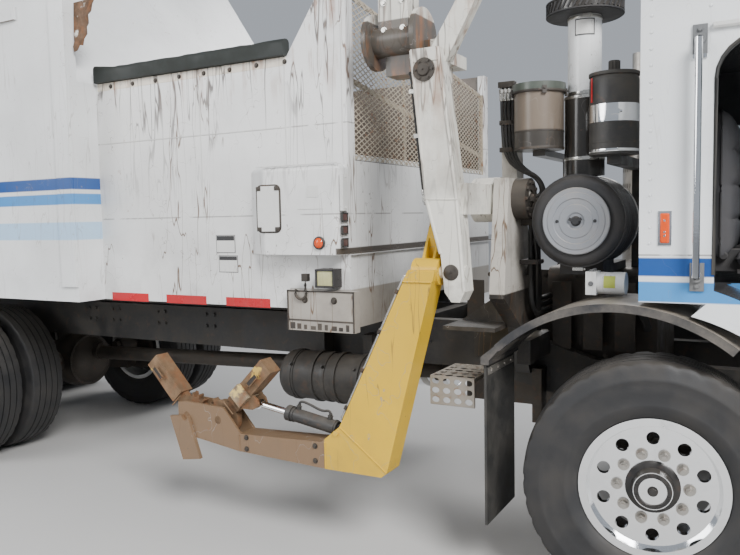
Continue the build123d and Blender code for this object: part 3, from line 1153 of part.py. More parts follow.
with BuildPart() as side_housing:
    housing_inner = -HOPPER_HALF_WIDTH - SEAT_GAP
    with BuildSketch(Plane.XY.offset(HOUSING_Z[0])) as housing_plan:
        with BuildLine():
            Polyline((ahead(HOUSING_X[0]), housing_inner), (ahead(HOUSING_X[0] + 150), BULGE_Y),
                     (ahead(HOUSING_X[1]), BULGE_Y), (ahead(HOUSING_X[1]), housing_inner), close=True)
        make_face()
    extrude(housing_plan.sketch, amount=HOUSING_Z[1] - HOUSING_Z[0])
    fillet(side_housing.edges().filter_by(Axis.Z).group_by(Axis.Y)[0], radius=50)
    fillet(side_housing.edges().group_by(Axis.Z)[-1].group_by(Axis.Y)[0], radius=30)
    block((-1812, -1400), (-1075, -HOPPER_HALF_WIDTH - SEAT_GAP), (1098, 1312))
side_housing.part.label = "side_housing"
export_step(side_housing.part, "parts/side_housing.step")

with BuildPart() as side_lamps:
    bar_along_y(-1570, 1561, BULGE_Y - 24, BULGE_Y - SEAT_GAP, 34)
    for height in (1561, 1625, 1690):
        block((-1450 + SEAT_GAP, -1436), (-1110, -1050), (height - 24, height + 24))
    block((-1617, -1498), (-1110, -HOPPER_HALF_WIDTH - SEAT_GAP), (1332, 1428))
side_lamps.part.label = "side_lamps"
export_step(side_lamps.part, "parts/side_lamps.step")

RAM_GAP = 12.0
RAM_FRONT = HOPPER_FRONT - HOPPER_WALL - 40
RAM_LENGTH = 420.0
RAM_TOP = 1950.0

with BuildPart() as packer_ram:
    half = HOPPER_HALF_WIDTH - HOPPER_WALL - RAM_GAP
    block((RAM_FRONT - RAM_LENGTH, RAM_FRONT), (-half, half),
          (FLOOR_BOTTOM + FLOOR_STEEL + SEAT_GAP, RAM_TOP))
    block((RAM_FRONT - RAM_LENGTH + 60, RAM_FRONT + 1), (-half + 60, half - 60), (1400, RAM_TOP + 1),
          mode=Mode.SUBTRACT)
packer_ram.part.label = "packer_ram"
export_step(packer_ram.part, "parts/packer_ram.step")

# Tailgate

TAILGATE_FACE = BODY_REAR - 6.0
TAILGATE_TOP_X = TAILGATE_FACE - 340
TAILGATE_FOOT_X = TAILGATE_FACE - 400


def tailgate_outline(face, top_x, foot_x, wall):
    """Side outline of the tailgate, set in by a wall thickness at its top, foot and rear."""
    foot = FLOOR_BOTTOM + wall
    top = BODY_ROOF - wall
    with BuildLine() as edge:
        Polyline(*from_front_axle([(foot_x, foot), (face, foot), (face, top), (top_x, top)]))
        ThreePointArc(*from_front_axle(
            [(top_x, top), (TAILGATE_REAR + TAILGATE_BULGE + wall, TAILGATE_ARC_Z), (foot_x, foot)]))
    make_face(edge.edges())


with BuildPart() as tailgate_cavity:
    with BuildSketch(Plane.XZ.offset(-BODY_HALF_WIDTH + BODY_WALL)):
        tailgate_outline(TAILGATE_FACE + 1, TAILGATE_TOP_X + 20, TAILGATE_FOOT_X + 20, BODY_WALL)
    extrude(amount=2 * (BODY_HALF_WIDTH - BODY_WALL))

with BuildPart() as tailgate:
    with BuildSketch(Plane.XZ.offset(-BODY_HALF_WIDTH)):
        tailgate_outline(TAILGATE_FACE, TAILGATE_TOP_X, TAILGATE_FOOT_X, 0.0)
    extrude(amount=2 * BODY_HALF_WIDTH)
    add(tailgate_cavity.part, mode=Mode.SUBTRACT)
    for name, side in SIDES:
        side_plate(
            [(BODY_REAR - 130, BODY_ROOF - 5), (BODY_REAR - 10, BODY_ROOF - 5),
             (BODY_REAR, TAILGATE_PIN_Z - 10), (BODY_REAR - 30, TAILGATE_PIN_Z + 36),
             (BODY_REAR - 130, BODY_ROOF + 20)],
            side * 600, side * 640,
        )
        bar_along_y(BODY_REAR - 30, TAILGATE_PIN_Z, side * 590, side * 650, 40)
        bar_along_y(BODY_REAR - 30, TAILGATE_PIN_Z, side * 589, side * 651, 20 + PIN_GAP,
                    mode=Mode.SUBTRACT)
tailgate.part.label = "tailgate"
export_step(tailgate.part, "parts/tailgate.step")

with BuildPart() as tail_lamps:
    for name, side in SIDES:
        block((TAILGATE_FACE - 300, TAILGATE_FACE - 120),
              (side * (BODY_HALF_WIDTH + SEAT_GAP), side * (BODY_HALF_WIDTH + 20)), (1300, 1400))
tail_lamps.part.label = "tail_lamps"
export_step(tail_lamps.part, "parts/tail_lamps.step")

# Hoist under the body

hoist_axis = Vector(HOIST_EYE[0] - HOIST_BASE[0], 0, HOIST_EYE[1] - HOIST_BASE[1])
hoist_unit = hoist_axis.normalized()


def along_hoist(side, distance):
    """Point on a hoist cylinder's axis, measured from its base pin."""
    return (HOIST_BASE[0] + hoist_unit.X * distance, side * HOIST_Y,
            HOIST_BASE[1] + hoist_unit.Z * distance)


with BuildPart() as hoist_barrels:
    for name, side in SIDES:
        bar_between(along_hoist(side, 40), along_hoist(side, HOIST_BARREL_LENGTH), HOIST_BARREL_RADIUS)
        bar_along_y(HOIST_BASE[0], HOIST_BASE[1], side * (HOIST_Y - 35), side * (HOIST_Y + 35), 50)
        bar_between(along_hoist(side, 100), along_hoist(side, HOIST_BARREL_LENGTH + 1),
                    HOIST_ROD_RADIUS + PIN_GAP, mode=Mode.SUBTRACT)
    bar_along_y(HOIST_BASE[0], HOIST_BASE[1], -HOIST_BRACKET_OUTER, HOIST_BRACKET_OUTER, HOIST_PIN_RADIUS)
hoist_barrels.part.label = "hoist_barrels"
export_step(hoist_barrels.part, "parts/hoist_barrels.step")

with BuildPart() as hoist_rods:
    for name, side in SIDES:
        bar_between(along_hoist(side, 160), along_hoist(side, hoist_axis.length), HOIST_ROD_RADIUS)
        bar_along_y(HOIST_EYE[0], HOIST_EYE[1], side * (HOIST_Y - 22), side * (HOIST_Y + 22),
                    HOIST_ROD_RADIUS)
    bar_between(along_hoist(RIGHT, HOIST_TIE), along_hoist(LEFT, HOIST_TIE), HOIST_TIE_RADIUS)
hoist_rods.part.label = "hoist_rods"
export_step(hoist_rods.part, "parts/hoist_rods.step")

# Front knuckles and wheels


def wheel_plane(side, distance=0.0):
    """Plane across a front wheel's axle, a distance outboard of the wheel's middle.

    The wheel stands turned to the left by STEER_REST_DEG about its kingpin.
    """
    turn = radians(STEER_REST_DEG)
    outward = Vector(-side * sin(turn), side * cos(turn), 0)
    kingpin = Vector(ahead(0), side * KINGPIN_Y, TYRE_RADIUS)
    middle = kingpin + outward * (FRONT_TRACK_HALF - KINGPIN_Y + distance)
    return Plane(origin=middle, x_dir=(0, 0, 1), z_dir=outward)


def turned(outline_plane_distance, side, radius, length, mode=Mode.ADD):
    """Round bar along a front wheel's axle, from a distance outboard of its middle."""
    with BuildSketch(wheel_plane(side, outline_plane_distance)) as section:
        Circle(radius)
    extrude(section.sketch, amount=length, mode=mode)


KNUCKLE_FACE = -50.0

for name, side in SIDES:
    with BuildPart() as knuckle:
        turned(KNUCKLE_FACE - 50, side, 95, 30)
        turned(KNUCKLE_FACE - 30, side, FRONT_SPINDLE_RADIUS, 140)
        for low in (AXLE_EYE_BOTTOM - 36, AXLE_EYE_TOP + 2):
            high = low + 34
            bar_along_z(0, side * KINGPIN_Y, low, high, AXLE_EYE_RADIUS)
            block((-40, 40), (side * KINGPIN_Y, side * (KINGPIN_Y + 62)), (low, high))
        bar_along_z(0, side * KINGPIN_Y, AXLE_EYE_BOTTOM - 36, AXLE_EYE_TOP + 36, KINGPIN_RADIUS)
    knuckle.part.label = f"knuckle_{name}"
    export_step(knuckle.part, f"parts/knuckle_{name}.step")

DISC_INNER = 60.0
DISC_OUTER = 89.0
HUB_RADIUS = 112.0
HUB_CAP_RADIUS = 78.0
HUB_CAP_END = 150.0
FLANGE_STEEL = 14.0
FLANGE_RADIUS = 299.0
TYRE_SHOULDER_RADIUS = 505.0


def tyre_profile(width, rim_width, seat, centre=0.0):
    """Half section of a tyre: (outboard distance, radius) pairs round the crown and beads."""
    half = width / 2
    bead = rim_width / 2 - FLANGE_STEEL - SEAT_GAP
    return [
        (centre - bead, seat), (centre + bead, seat), (centre + bead, FLANGE_RADIUS + 3),
        (centre + half * 0.97, BEAD_RADIUS + 70), (centre + half, 420),
        (centre + half * 0.93, TYRE_SHOULDER_RADIUS), (centre + half * 0.80, TYRE_RADIUS - 6),
        (centre + half * 0.45, TYRE_RADIUS), (centre - half * 0.45, TYRE_RADIUS),
        (centre - half * 0.80, TYRE_RADIUS - 6), (centre - half * 0.93, TYRE_SHOULDER_RADIUS),
        (centre - half, 420), (centre - half * 0.97, BEAD_RADIUS + 70),
        (centre - bead, FLANGE_RADIUS + 3),
    ]


def revolve_about(axle_plane, profile, mode=Mode.ADD):
    """Revolve (outboard distance, radius) pairs about the axle of a wheel plane."""
    origin = axle_plane.origin
    half_plane = Plane(origin=origin, x_dir=axle_plane.z_dir,
                       z_dir=axle_plane.z_dir.cross(axle_plane.x_dir))
    with BuildSketch(half_plane) as section:
        with BuildLine():
            Polyline(*profile, close=True)
        make_face()
    revolve(section.sketch, axis=Axis(origin, axle_plane.z_dir), mode=mode)




def rim_barrel(width, centre=0.0):
    """Outer half of a rim's section between its two inner edges: (outboard distance, radius) pairs."""
    half = width / 2
    return [
        (centre - half, RIM_RADIUS - RIM_WALL), (centre - half, FLANGE_RADIUS),
        (centre - half + FLANGE_STEEL, FLANGE_RADIUS), (centre - half + FLANGE_STEEL, RIM_RADIUS),
        (centre + half - FLANGE_STEEL, RIM_RADIUS), (centre + half - FLANGE_STEEL, FLANGE_RADIUS),
        (centre + half, FLANGE_RADIUS), (centre + half, RIM_RADIUS - RIM_WALL),
    ]


FRONT_RIM_PROFILE = rim_barrel(RIM_WIDTH) + [
    (DISC_OUTER, 255), (DISC_OUTER, 60), (DISC_INNER, 60), (DISC_INNER, 240),
    (DISC_INNER - 20, RIM_RADIUS - RIM_WALL),
]

for name, side in SIDES:
    with BuildPart() as front_tyre:
        revolve_about(wheel_plane(side), tyre_profile(FRONT_TYRE_WIDTH, RIM_WIDTH, RIM_RADIUS + SEAT_GAP))
    front_tyre.part.label = f"front_tyre_{name}"
    export_step(front_tyre.part, f"parts/front_tyre_{name}.step")

    with BuildPart() as front_rim:
        revolve_about(wheel_plane(side), FRONT_RIM_PROFILE)
        with BuildSketch(wheel_plane(side, DISC_INNER - 1)) as hand_holes:
            with PolarLocations(HAND_HOLE_CIRCLE_RADIUS, WHEEL_STUDS):
                Circle(HAND_HOLE_RADIUS)
        extrude(hand_holes.sketch, amount=DISC_OUTER - DISC_INNER + 2, mode=Mode.SUBTRACT)
        turned(-40, side, HUB_RADIUS, DISC_OUTER + 41)
        turned(DISC_OUTER, side, HUB_CAP_RADIUS, HUB_CAP_END - DISC_OUTER)
        turned(-41, side, FRONT_SPINDLE_RADIUS + PIN_GAP, 121, mode=Mode.SUBTRACT)
    front_rim.part.label = f"front_rim_{name}"
    export_step(front_rim.part, f"parts/front_rim_{name}.step")

REAR_DISC_Y = 902.0
REAR_DRUM_RADIUS = 205.0
REAR_HUB_RADIUS = 110.0
REAR_HUB_END = 1060.0
REAR_RIM_WIDTH = 230.0
REAR_CORE_PROFILE = [
    (640, 120), (640, REAR_DRUM_RADIUS), (860, REAR_DRUM_RADIUS), (880, 120), (REAR_DISC_Y - 15, 120),
    (REAR_DISC_Y - 15, RIM_RADIUS - RIM_WALL + 1), (REAR_DISC_Y + 15, RIM_RADIUS - RIM_WALL + 1),
    (REAR_DISC_Y + 15, REAR_HUB_RADIUS), (REAR_HUB_END, REAR_HUB_RADIUS),
    (REAR_HUB_END, REAR_SPINDLE_RADIUS + PIN_GAP), (850, REAR_SPINDLE_RADIUS + PIN_GAP), (850, 120),
]
# Name and place of each rear wheel pair: axle name, its station
REAR_PAIRS = (("fore", REAR_AXLE_1), ("aft", REAR_AXLE_2))

for axle_name, station in REAR_PAIRS:
    for name, side in SIDES:
        hub = Plane(origin=(ahead(station), 0, TYRE_RADIUS), x_dir=(0, 0, 1), z_dir=(0, side, 0))
        node = f"rear_wheels_{axle_name}_{name}"
        with BuildPart() as rear_wheels:
            for centre in (DUAL_INNER_Y, DUAL_OUTER_Y):
                revolve_about(hub, tyre_profile(REAR_TYRE_WIDTH, REAR_RIM_WIDTH, RIM_RADIUS - 1, centre))
                revolve_about(hub, rim_barrel(REAR_RIM_WIDTH, centre))
            revolve_about(hub, [(790, 255), (790, RIM_RADIUS - RIM_WALL + 1),
                                (1000, RIM_RADIUS - RIM_WALL + 1), (1000, 255)])
            revolve_about(hub, REAR_CORE_PROFILE)
        rear_wheels.part.label = node
        export_step(rear_wheels.part, f"parts/{node}.step")

# Doors

LEAF_SPLIT_X = (DOOR_REAR + DOOR_FRONT) / 2
FOLD_HINGE_Y = -CAB_HALF_WIDTH - 4.0
DOOR_WINDOW_BOTTOM = 1500.0
DOOR_FRAME = 70.0


def door_panel(side, x_low, x_high):
    """Part of the door between two stations, its window cut out."""
    outer = side * (CAB_HALF_WIDTH - 2)
    inner = side * (CAB_HALF_WIDTH - 2 - DOOR_THICKNESS)
    with BuildSketch(Plane.XZ.offset(-max(outer, inner))) as panel:
        door_outline(DOOR_GAP)
        with Locations((ahead((x_low + x_high) / 2), 1500)):
            Rectangle(x_high - x_low, 3000, mode=Mode.INTERSECT)
        low = max(x_low, DOOR_REAR) + DOOR_FRAME
        high = min(x_high, DOOR_FRONT) - DOOR_FRAME
        with Locations((ahead((low + high) / 2), (DOOR_WINDOW_BOTTOM + DOOR_TOP - DOOR_FRAME) / 2)):
            Rectangle(high - low, DOOR_TOP - DOOR_FRAME - DOOR_WINDOW_BOTTOM, mode=Mode.SUBTRACT)
    extrude(panel.sketch, amount=DOOR_THICKNESS)


with BuildPart() as door_left:
    door_panel(LEFT, DOOR_REAR - 100, DOOR_FRONT + 100)
    for low in HINGE_HEIGHTS:
        knuckle_z = low + HINGE_LUG + 4, low + HINGE_HEIGHT - HINGE_LUG - 4
        block((LEFT_HINGE_X - 90, LEFT_HINGE_X), (CAB_HALF_WIDTH - 4, CAB_HALF_WIDTH + 14), knuckle_z)
        bar_along_z(LEFT_HINGE_X, LEFT_HINGE_Y, knuckle_z[0], knuckle_z[1], KNUCKLE_RADIUS)
        bar_along_z(LEFT_HINGE_X, LEFT_HINGE_Y, low, low + HINGE_HEIGHT, HINGE_PIN + PIN_GAP,
                    mode=Mode.SUBTRACT)
door_left.part.label = "door_left"
export_step(door_left.part, "parts/door_left.step")

# The right door's leaves are made closed, hinged along their split, then folded open
FOLD_HEIGHTS = (1250.0, 2050.0)
FOLD_SET = 120.0
FOLD_KNUCKLE = 38.0
FOLD_PIN = 5.0
FOLD_RADIUS = 10.0
FOLD_NOTCH = 12.0

with BuildPart() as leaf_front_closed:
    door_panel(RIGHT, LEAF_SPLIT_X + 2, DOOR_FRONT + 100)
    for low in FOLD_HEIGHTS:
        top = low + FOLD_SET
        bar_along_z(LEAF_SPLIT_X, FOLD_HINGE_Y, low + FOLD_KNUCKLE, top - FOLD_KNUCKLE, FOLD_NOTCH,
                    mode=Mode.SUBTRACT)
        for edge in (low, top - FOLD_KNUCKLE):
            bar_along_z(LEAF_SPLIT_X, FOLD_HINGE_Y, edge, edge + FOLD_KNUCKLE, FOLD_RADIUS)
            block((LEAF_SPLIT_X, LEAF_SPLIT_X + 30), (FOLD_HINGE_Y, FOLD_HINGE_Y + 10),
                  (edge, edge + FOLD_KNUCKLE))
        bar_along_z(LEAF_SPLIT_X, FOLD_HINGE_Y, low, top, FOLD_PIN)
    for low, high in ((LEAF_PIN_BOTTOM, DOOR_BOTTOM + 30), (DOOR_TOP - 30, LEAF_PIN_TOP)):
        bar_along_z(LEAF_HINGE_X, LEAF_HINGE_Y, low, high, LEAF_PIN_RADIUS)

with BuildPart() as leaf_rear_closed:
    door_panel(RIGHT, DOOR_REAR - 100, LEAF_SPLIT_X - 2)
    for low in FOLD_HEIGHTS:
        top = low + FOLD_SET
        for edge in (low, top - FOLD_KNUCKLE):
            bar_along_z(LEAF_SPLIT_X, FOLD_HINGE_Y, edge - 3, edge + FOLD_KNUCKLE + 3, FOLD_NOTCH,
                        mode=Mode.SUBTRACT)
        inner_low = low + FOLD_KNUCKLE + 4
        inner_high = top - FOLD_KNUCKLE - 4
        bar_along_z(LEAF_SPLIT_X, FOLD_HINGE_Y, inner_low, inner_high, FOLD_RADIUS)
        block((LEAF_SPLIT_X - 30, LEAF_SPLIT_X), (FOLD_HINGE_Y, FOLD_HINGE_Y + 10), (inner_low, inner_high))
        bar_along_z(LEAF_SPLIT_X, FOLD_HINGE_Y, low, top, FOLD_PIN + PIN_GAP, mode=Mode.SUBTRACT)

LEAF_AXIS = Axis((ahead(LEAF_HINGE_X), LEAF_HINGE_Y, 0), (0, 0, 1))
FOLD_AXIS = Axis((ahead(LEAF_SPLIT_X), FOLD_HINGE_Y, 0), (0, 0, 1))
FOLD_OPEN_DEG = 90.0

with BuildPart() as door_right_front:
    add(leaf_front_closed.part.rotate(LEAF_AXIS, -FOLD_OPEN_DEG))
door_right_front.part.label = "door_right_front"
export_step(door_right_front.part, "parts/door_right_front.step")

with BuildPart() as door_right_rear:
    add(leaf_rear_closed.part.rotate(FOLD_AXIS, 2 * FOLD_OPEN_DEG).rotate(LEAF_AXIS, -FOLD_OPEN_DEG))
door_right_rear.part.label = "door_right_rear"
export_step(door_right_rear.part, "parts/door_right_rear.step")
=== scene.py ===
"""Looks of the garbage truck: finishes, tread, fasteners, lamps, mesh, hoses and soft parts.

Metres, +X forward, +Y to the left, +Z up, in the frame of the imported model. Places along the truck are given
from the front axle by at().
"""
from math import cos, exp, pi, radians, sin

import bmesh
import bpy
from mathutils import Matrix, Vector


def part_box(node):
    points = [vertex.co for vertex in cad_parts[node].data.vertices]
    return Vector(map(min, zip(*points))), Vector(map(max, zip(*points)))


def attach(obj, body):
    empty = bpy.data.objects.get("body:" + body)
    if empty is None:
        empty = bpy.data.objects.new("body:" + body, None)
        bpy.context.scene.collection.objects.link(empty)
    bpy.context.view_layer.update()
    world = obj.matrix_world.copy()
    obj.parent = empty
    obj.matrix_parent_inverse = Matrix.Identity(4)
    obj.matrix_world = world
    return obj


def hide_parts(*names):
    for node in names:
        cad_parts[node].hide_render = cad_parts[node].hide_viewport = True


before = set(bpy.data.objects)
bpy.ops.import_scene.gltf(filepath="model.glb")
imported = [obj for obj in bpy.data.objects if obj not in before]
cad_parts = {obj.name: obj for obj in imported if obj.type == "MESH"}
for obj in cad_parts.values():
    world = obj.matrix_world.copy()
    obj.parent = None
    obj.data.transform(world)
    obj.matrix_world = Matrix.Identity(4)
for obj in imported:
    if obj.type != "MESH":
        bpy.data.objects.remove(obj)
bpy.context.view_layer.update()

RIGHT, LEFT, UP, AHEAD = Vector((0, -1, 0)), Vector((0, 1, 0)), Vector((0, 0, 1)), Vector((1, 0, 0))
SIDES = (("right", -1), ("left", 1))


def middle_x(node):
    """X of the middle of a node's box at rest."""
    low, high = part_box(node)
    return ((low + high) / 2).x


AXLE_X = middle_x("front_axle_beam")


def at(x, y, z):
    """Point given by its distance ahead of the front axle, Y and Z."""
    return Vector((AXLE_X + x, y, z))


def add_object(name, data):
    made = bpy.data.objects.new(name, data)
    bpy.context.scene.collection.objects.link(made)
    return made


# Camera, found from the front wheel's ellipse

PHOTO_WIDTH, FOCAL_PIXELS, SENSOR_MM = 740, 750, 36.0
HEADING, DIP, ROLL = radians(29.14), radians(4.54), radians(1.14)


def add_camera():
    """Camera where the photograph was taken."""
    ahead = Vector((-sin(HEADING) * cos(DIP), cos(HEADING) * cos(DIP), -sin(DIP)))
    right = Vector((cos(HEADING), sin(HEADING), 0))
    down = ahead.cross(right)
    turn = Matrix((cos(ROLL) * right + sin(ROLL) * down, sin(ROLL) * right - cos(ROLL) * down, -ahead))
    data = bpy.data.cameras.new("camera")
    data.sensor_fit = "HORIZONTAL"
    data.sensor_width = SENSOR_MM
    data.lens = SENSOR_MM * FOCAL_PIXELS / PHOTO_WIDTH
    data.clip_end = 100
    camera = add_object("camera", data)
    camera.matrix_world = Matrix.Translation(at(0.508, -4.329, 1.683)) @ turn.transposed().to_4x4()
    bpy.context.scene.camera = camera


# Finishes

class Finish:
    """A material's node tree, with short calls for what the finishes repeat."""

    def __init__(self, name, roughness=0.5, metallic=0.0):
        self.material = bpy.data.materials.new(name)
        self.material.use_nodes = True
        self.nodes = self.material.node_tree.nodes
        self.shader = self.nodes["Principled BSDF"]
        self.shader.inputs["Roughness"].default_value = roughness
        self.shader.inputs["Metallic"].default_value = metallic
        self.place = self.nodes.new("ShaderNodeTexCoord").outputs["Object"]

    def put(self, value, socket):
        """Give a socket another socket, a number or a colour."""
        if isinstance(value, bpy.types.NodeSocket):
            self.material.node_tree.links.new(value, socket)
        else:
            socket.default_value = (*value, 1.0) if isinstance(value, tuple) else value

    def node(self, kind, **inputs):
        """New node with some inputs set, their names written with _ for a space."""
        made = self.nodes.new("ShaderNode" + kind)
        for name, value in inputs.items():
            if isinstance(value, bpy.types.NodeSocket):
                self.put(value, made.inputs[name.replace("_", " ")])
            else:
                made.inputs[name.replace("_", " ")].default_value = value
        return made

    def noise(self, scale, detail=4.0, stretch=(1, 1, 1), rough=0.55, offset=0.0):
        """Grey noise, about so many features per metre."""
        mapping = self.node("Mapping", Vector=self.place, Location=(offset, offset * 0.7, offset * 1.3), Scale=stretch)
        return self.node("TexNoise", Vector=mapping.outputs[0], Scale=scale, Detail=detail,
                         Roughness=rough).outputs["Fac"]

    def step(self, value, low, high, to=(0.0, 1.0)):
        """0 below low, 1 above high, and a slope between them."""
        return self.node("MapRange", Value=value, From_Min=low, From_Max=high, To_Min=to[0],
                         To_Max=to[1]).outputs["Result"]

    def maths(self, operation, first, *others):
        """One value after another added, multiplied and so on, each a socket or a number."""
        for other in others:
            made = self.nodes.new("ShaderNodeMath")
            made.operation = operation
            self.put(first, made.inputs[0])
            self.put(other, made.inputs[1])
            first = made.outputs[0]
        return first

    def times(self, *values):
        return self.maths("MULTIPLY", *values)

    def plus(self, *values):
        return self.maths("ADD", *values)

    def split(self, vector, index):
        return self.node("SeparateXYZ", Vector=vector).outputs[index]

    def axis(self, index):
        """One object coordinate in metres: 0 along, 1 across, 2 up."""
        return self.split(self.place, index)

    def specks(self, scale, size):
        """1 in small round spots, about so many cells per metre."""
        return self.step(self.node("TexVoronoi", Vector=self.place, Scale=scale).outputs["Distance"], size, size * 0.6)

    def veins(self, scale, stretch, width, level=0.5, offset=0.0):
        """1 on thin wandering lines, where a noise passes a level."""
        away = self.maths("SUBTRACT", self.noise(scale, 3.0, stretch, 0.5, offset), level)
        return self.step(self.maths("ABSOLUTE", away, 0), width, width * 0.35)

    def upward(self):
        """1 on faces that look up, 0 on upright ones."""
        return self.step(self.split(self.node("NewGeometry").outputs["Normal"], 2), 0.25, 0.9)

    def inner(self, centre_x, centre_z):
        """1 on faces that look towards a centre inside a hollow shell, 0 on its outer ones."""
        normal = self.node("TexCoord").outputs["Normal"]
        away = self.times(self.split(normal, 1), self.axis(1))
        for index, centre in ((0, AXLE_X + centre_x), (2, centre_z)):
            away = self.plus(away, self.times(self.split(normal, index),
                                              self.maths("SUBTRACT", self.axis(index), centre)))
        return self.step(away, 0.0, -0.02)

    def between(self, value, low, high, soft=0.003):
        """1 where a value is between two limits."""
        return self.times(self.step(value, low - soft, low + soft), self.step(value, high + soft, high - soft))

    def mix(self, under, over, *shares):
        """One colour laid over another by a share, or by the product of several."""
        made = self.nodes.new("ShaderNodeMix")
        made.data_type = "RGBA"
        self.put(under, made.inputs[6])
        self.put(over, made.inputs[7])
        self.put(self.times(*shares), made.inputs[0])
        return made.outputs[2]

    def patched(self, colour, patches):
        """Lay colours over a colour in boxes given by two X from the front axle and two heights."""
        for (x_low, x_high), (z_low, z_high), over in patches:
            colour = self.mix(colour, over, self.between(self.axis(0), AXLE_X + x_low, AXLE_X + x_high),
                              self.between(self.axis(2), z_low, z_high))
        return colour

    def done(self, colour, rough=None, roughness=(0, 1), height=None, distance=0.001, strength=0.6):
        """Link the colour, the roughness between two limits by a grey value, and the relief, distance high."""
        self.put(colour, self.shader.inputs["Base Color"])
        if rough:
            self.put(self.step(rough, 0.0, 1.0, roughness), self.shader.inputs["Roughness"])
        self.put(self.node("Bump", Height=height, Distance=distance, Strength=strength).outputs["Normal"],
                 self.shader.inputs["Normal"])
        return self.material


def shade(colour, share):
    return tuple(c * share for c in colour)


BROWN = (0.13, 0.075, 0.04)
DARK_BROWN = (0.055, 0.035, 0.025)
RUST = (0.24, 0.105, 0.045)
GRIME = (0.10, 0.085, 0.07)
DUST = (0.36, 0.31, 0.25)
SCORED = (0.30, 0.27, 0.25)
DARK_BLUE, MID_BLUE, LIGHT_BLUE = (0.012, 0.075, 0.28), (0.06, 0.26, 0.58), (0.42, 0.60, 0.80)
GREASE = (0.028, 0.026, 0.024)
SCOURED = (0.20, 0.125, 0.07)


def weathered(name, base, grime=0.5, drips=0.5, rust=0.35, scratches=0.4, roughness=(0.28, 0.62), stripes=(),
              grime_top=1.5, grime_foot=1.0, patches=(), seams=(), stain=None, inside=None, lining=None):
    """Old gloss paint: stripes, patches, cloudy grime from the foot up, scratches, drips and rust chips.

    Stripes are (low, high, colour), seams are heights, and stain is two heights between which rust runs down
    and long scratches hang. Inside is (half width, front X, colour) of a load space that refuse has scoured.
    Lining is (X and Z of a hollow shell's centre, colour of its inner faces).
    """
    f = Finish(name)
    height = f.axis(2)
    colour = f.mix(shade(base, 0.88), base, f.step(f.noise(1.4, 3.0), 0.35, 0.62))
    for low, high, band in stripes:
        colour = f.mix(colour, band, f.between(height, low, high))
    colour = f.patched(colour, patches)
    cloud = f.step(f.noise(3.1, 6.0, rough=0.65, offset=3), 0.46, 0.72)
    cover = f.times(f.plus(f.times(f.step(height, grime_top, grime_foot), 0.75), 0.22), cloud)
    colour = f.mix(colour, GRIME, cover, grime)
    colour = f.mix(colour, DUST, f.step(f.noise(0.9, 5.0, offset=7), 0.40, 0.75), grime * 0.40)
    for seam in seams:
        broken = f.step(f.noise(6.0, 3.0, offset=seam), 0.42, 0.5)
        colour = f.mix(colour, GRIME, f.between(height, seam, seam + 0.004), broken)
    where = f.step(f.noise(2.3, 3.0, (1, 1, 0.5), offset=5), 0.47, 0.54)
    for level, offset in ((0.5, 11), (0.56, 23)):
        colour = f.mix(colour, BROWN, f.veins(2.6, (2.4, 2.4, 0.26), 0.0045, level, offset), where, drips)
    colour = f.mix(colour, GRIME, f.specks(11.0, 0.05), scratches)
    colour = f.mix(colour, SCORED, f.veins(5.0, (1.0, 1.0, 0.7), 0.0018, 0.53, 31), scratches)
    if stain:
        hanging = f.step(height, stain[0] - 0.55, stain[1] - 0.1)
        some = f.step(f.noise(1.7, 3.0, (1, 1, 0.6), offset=41), 0.40, 0.48)
        for scale, width, offset in ((4.2, 0.0095, 43), (6.5, 0.0075, 47), (8.0, 0.0070, 53)):
            line = f.veins(scale, (1, 1, 0.09), width, 0.5, offset)
            colour = f.mix(colour, DARK_BROWN, line, hanging, some, drips)
        runs = f.step(f.noise(7.0, 6.0, (2.2, 2.2, 0.30), 0.62, 17), 0.50, 0.60)
        colour = f.mix(colour, RUST, f.step(height, *stain), runs, f.step(f.noise(5.0, 5.0, offset=19), 0.35, 0.65))
    if inside:
        half, front, dirty = inside
        colour = f.mix(colour, f.mix(dirty, shade(dirty, 0.45), cloud),
                       f.step(f.maths("ABSOLUTE", f.axis(1), 0), half, half - 0.004),
                       f.step(f.axis(0), AXLE_X + front, AXLE_X + front - 0.004))
    if lining:
        x, z, dull = lining
        colour = f.mix(colour, f.mix(dull, shade(dull, 0.6), cloud), f.inner(x, z))
    spot = f.step(f.noise(9.0, 9.0, rough=0.72, offset=9), 0.655, 0.69)
    colour = f.mix(colour, RUST, spot, rust)
    relief = f.plus(f.noise(2.3, 2.0, offset=4), f.times(spot, -0.12))
    return f.done(colour, f.plus(cover, f.times(spot, 0.6)), roughness, relief, 0.006, 0.35)


def cast(name, base, dust=0.5, roughness=(0.45, 0.85), metallic=0.5, rust=0.5):
    """Dark iron or steel with grease, rust spots, and dust where it can lie."""
    f = Finish(name, metallic=metallic)
    cloud = f.step(f.noise(5.0, 6.0, rough=0.68), 0.42, 0.68)
    colour = f.mix(base, DUST, f.plus(f.times(f.upward(), 0.65), f.times(cloud, 0.6)), dust)
    colour = f.mix(colour, RUST, f.step(f.noise(22.0, 5.0, offset=6), 0.58, 0.66), dust * rust)
    return f.done(colour, cloud, roughness, f.noise(90.0, 3.0, offset=1), 0.0008, 0.5)


def polished(name, base, roughness=(0.10, 0.30), smudge=0.15):
    """Bright metal with faint turning marks and water spots."""
    f = Finish(name, metallic=1.0)
    spots = f.step(f.noise(14.0, 6.0, rough=0.7), 0.50, 0.72)
    return f.done(f.mix(base, shade(base, 0.55), spots, smudge), spots, roughness,
                  f.noise(180.0, 2.0, (0.15, 1.0, 1.0)), 0.0003, 0.35)


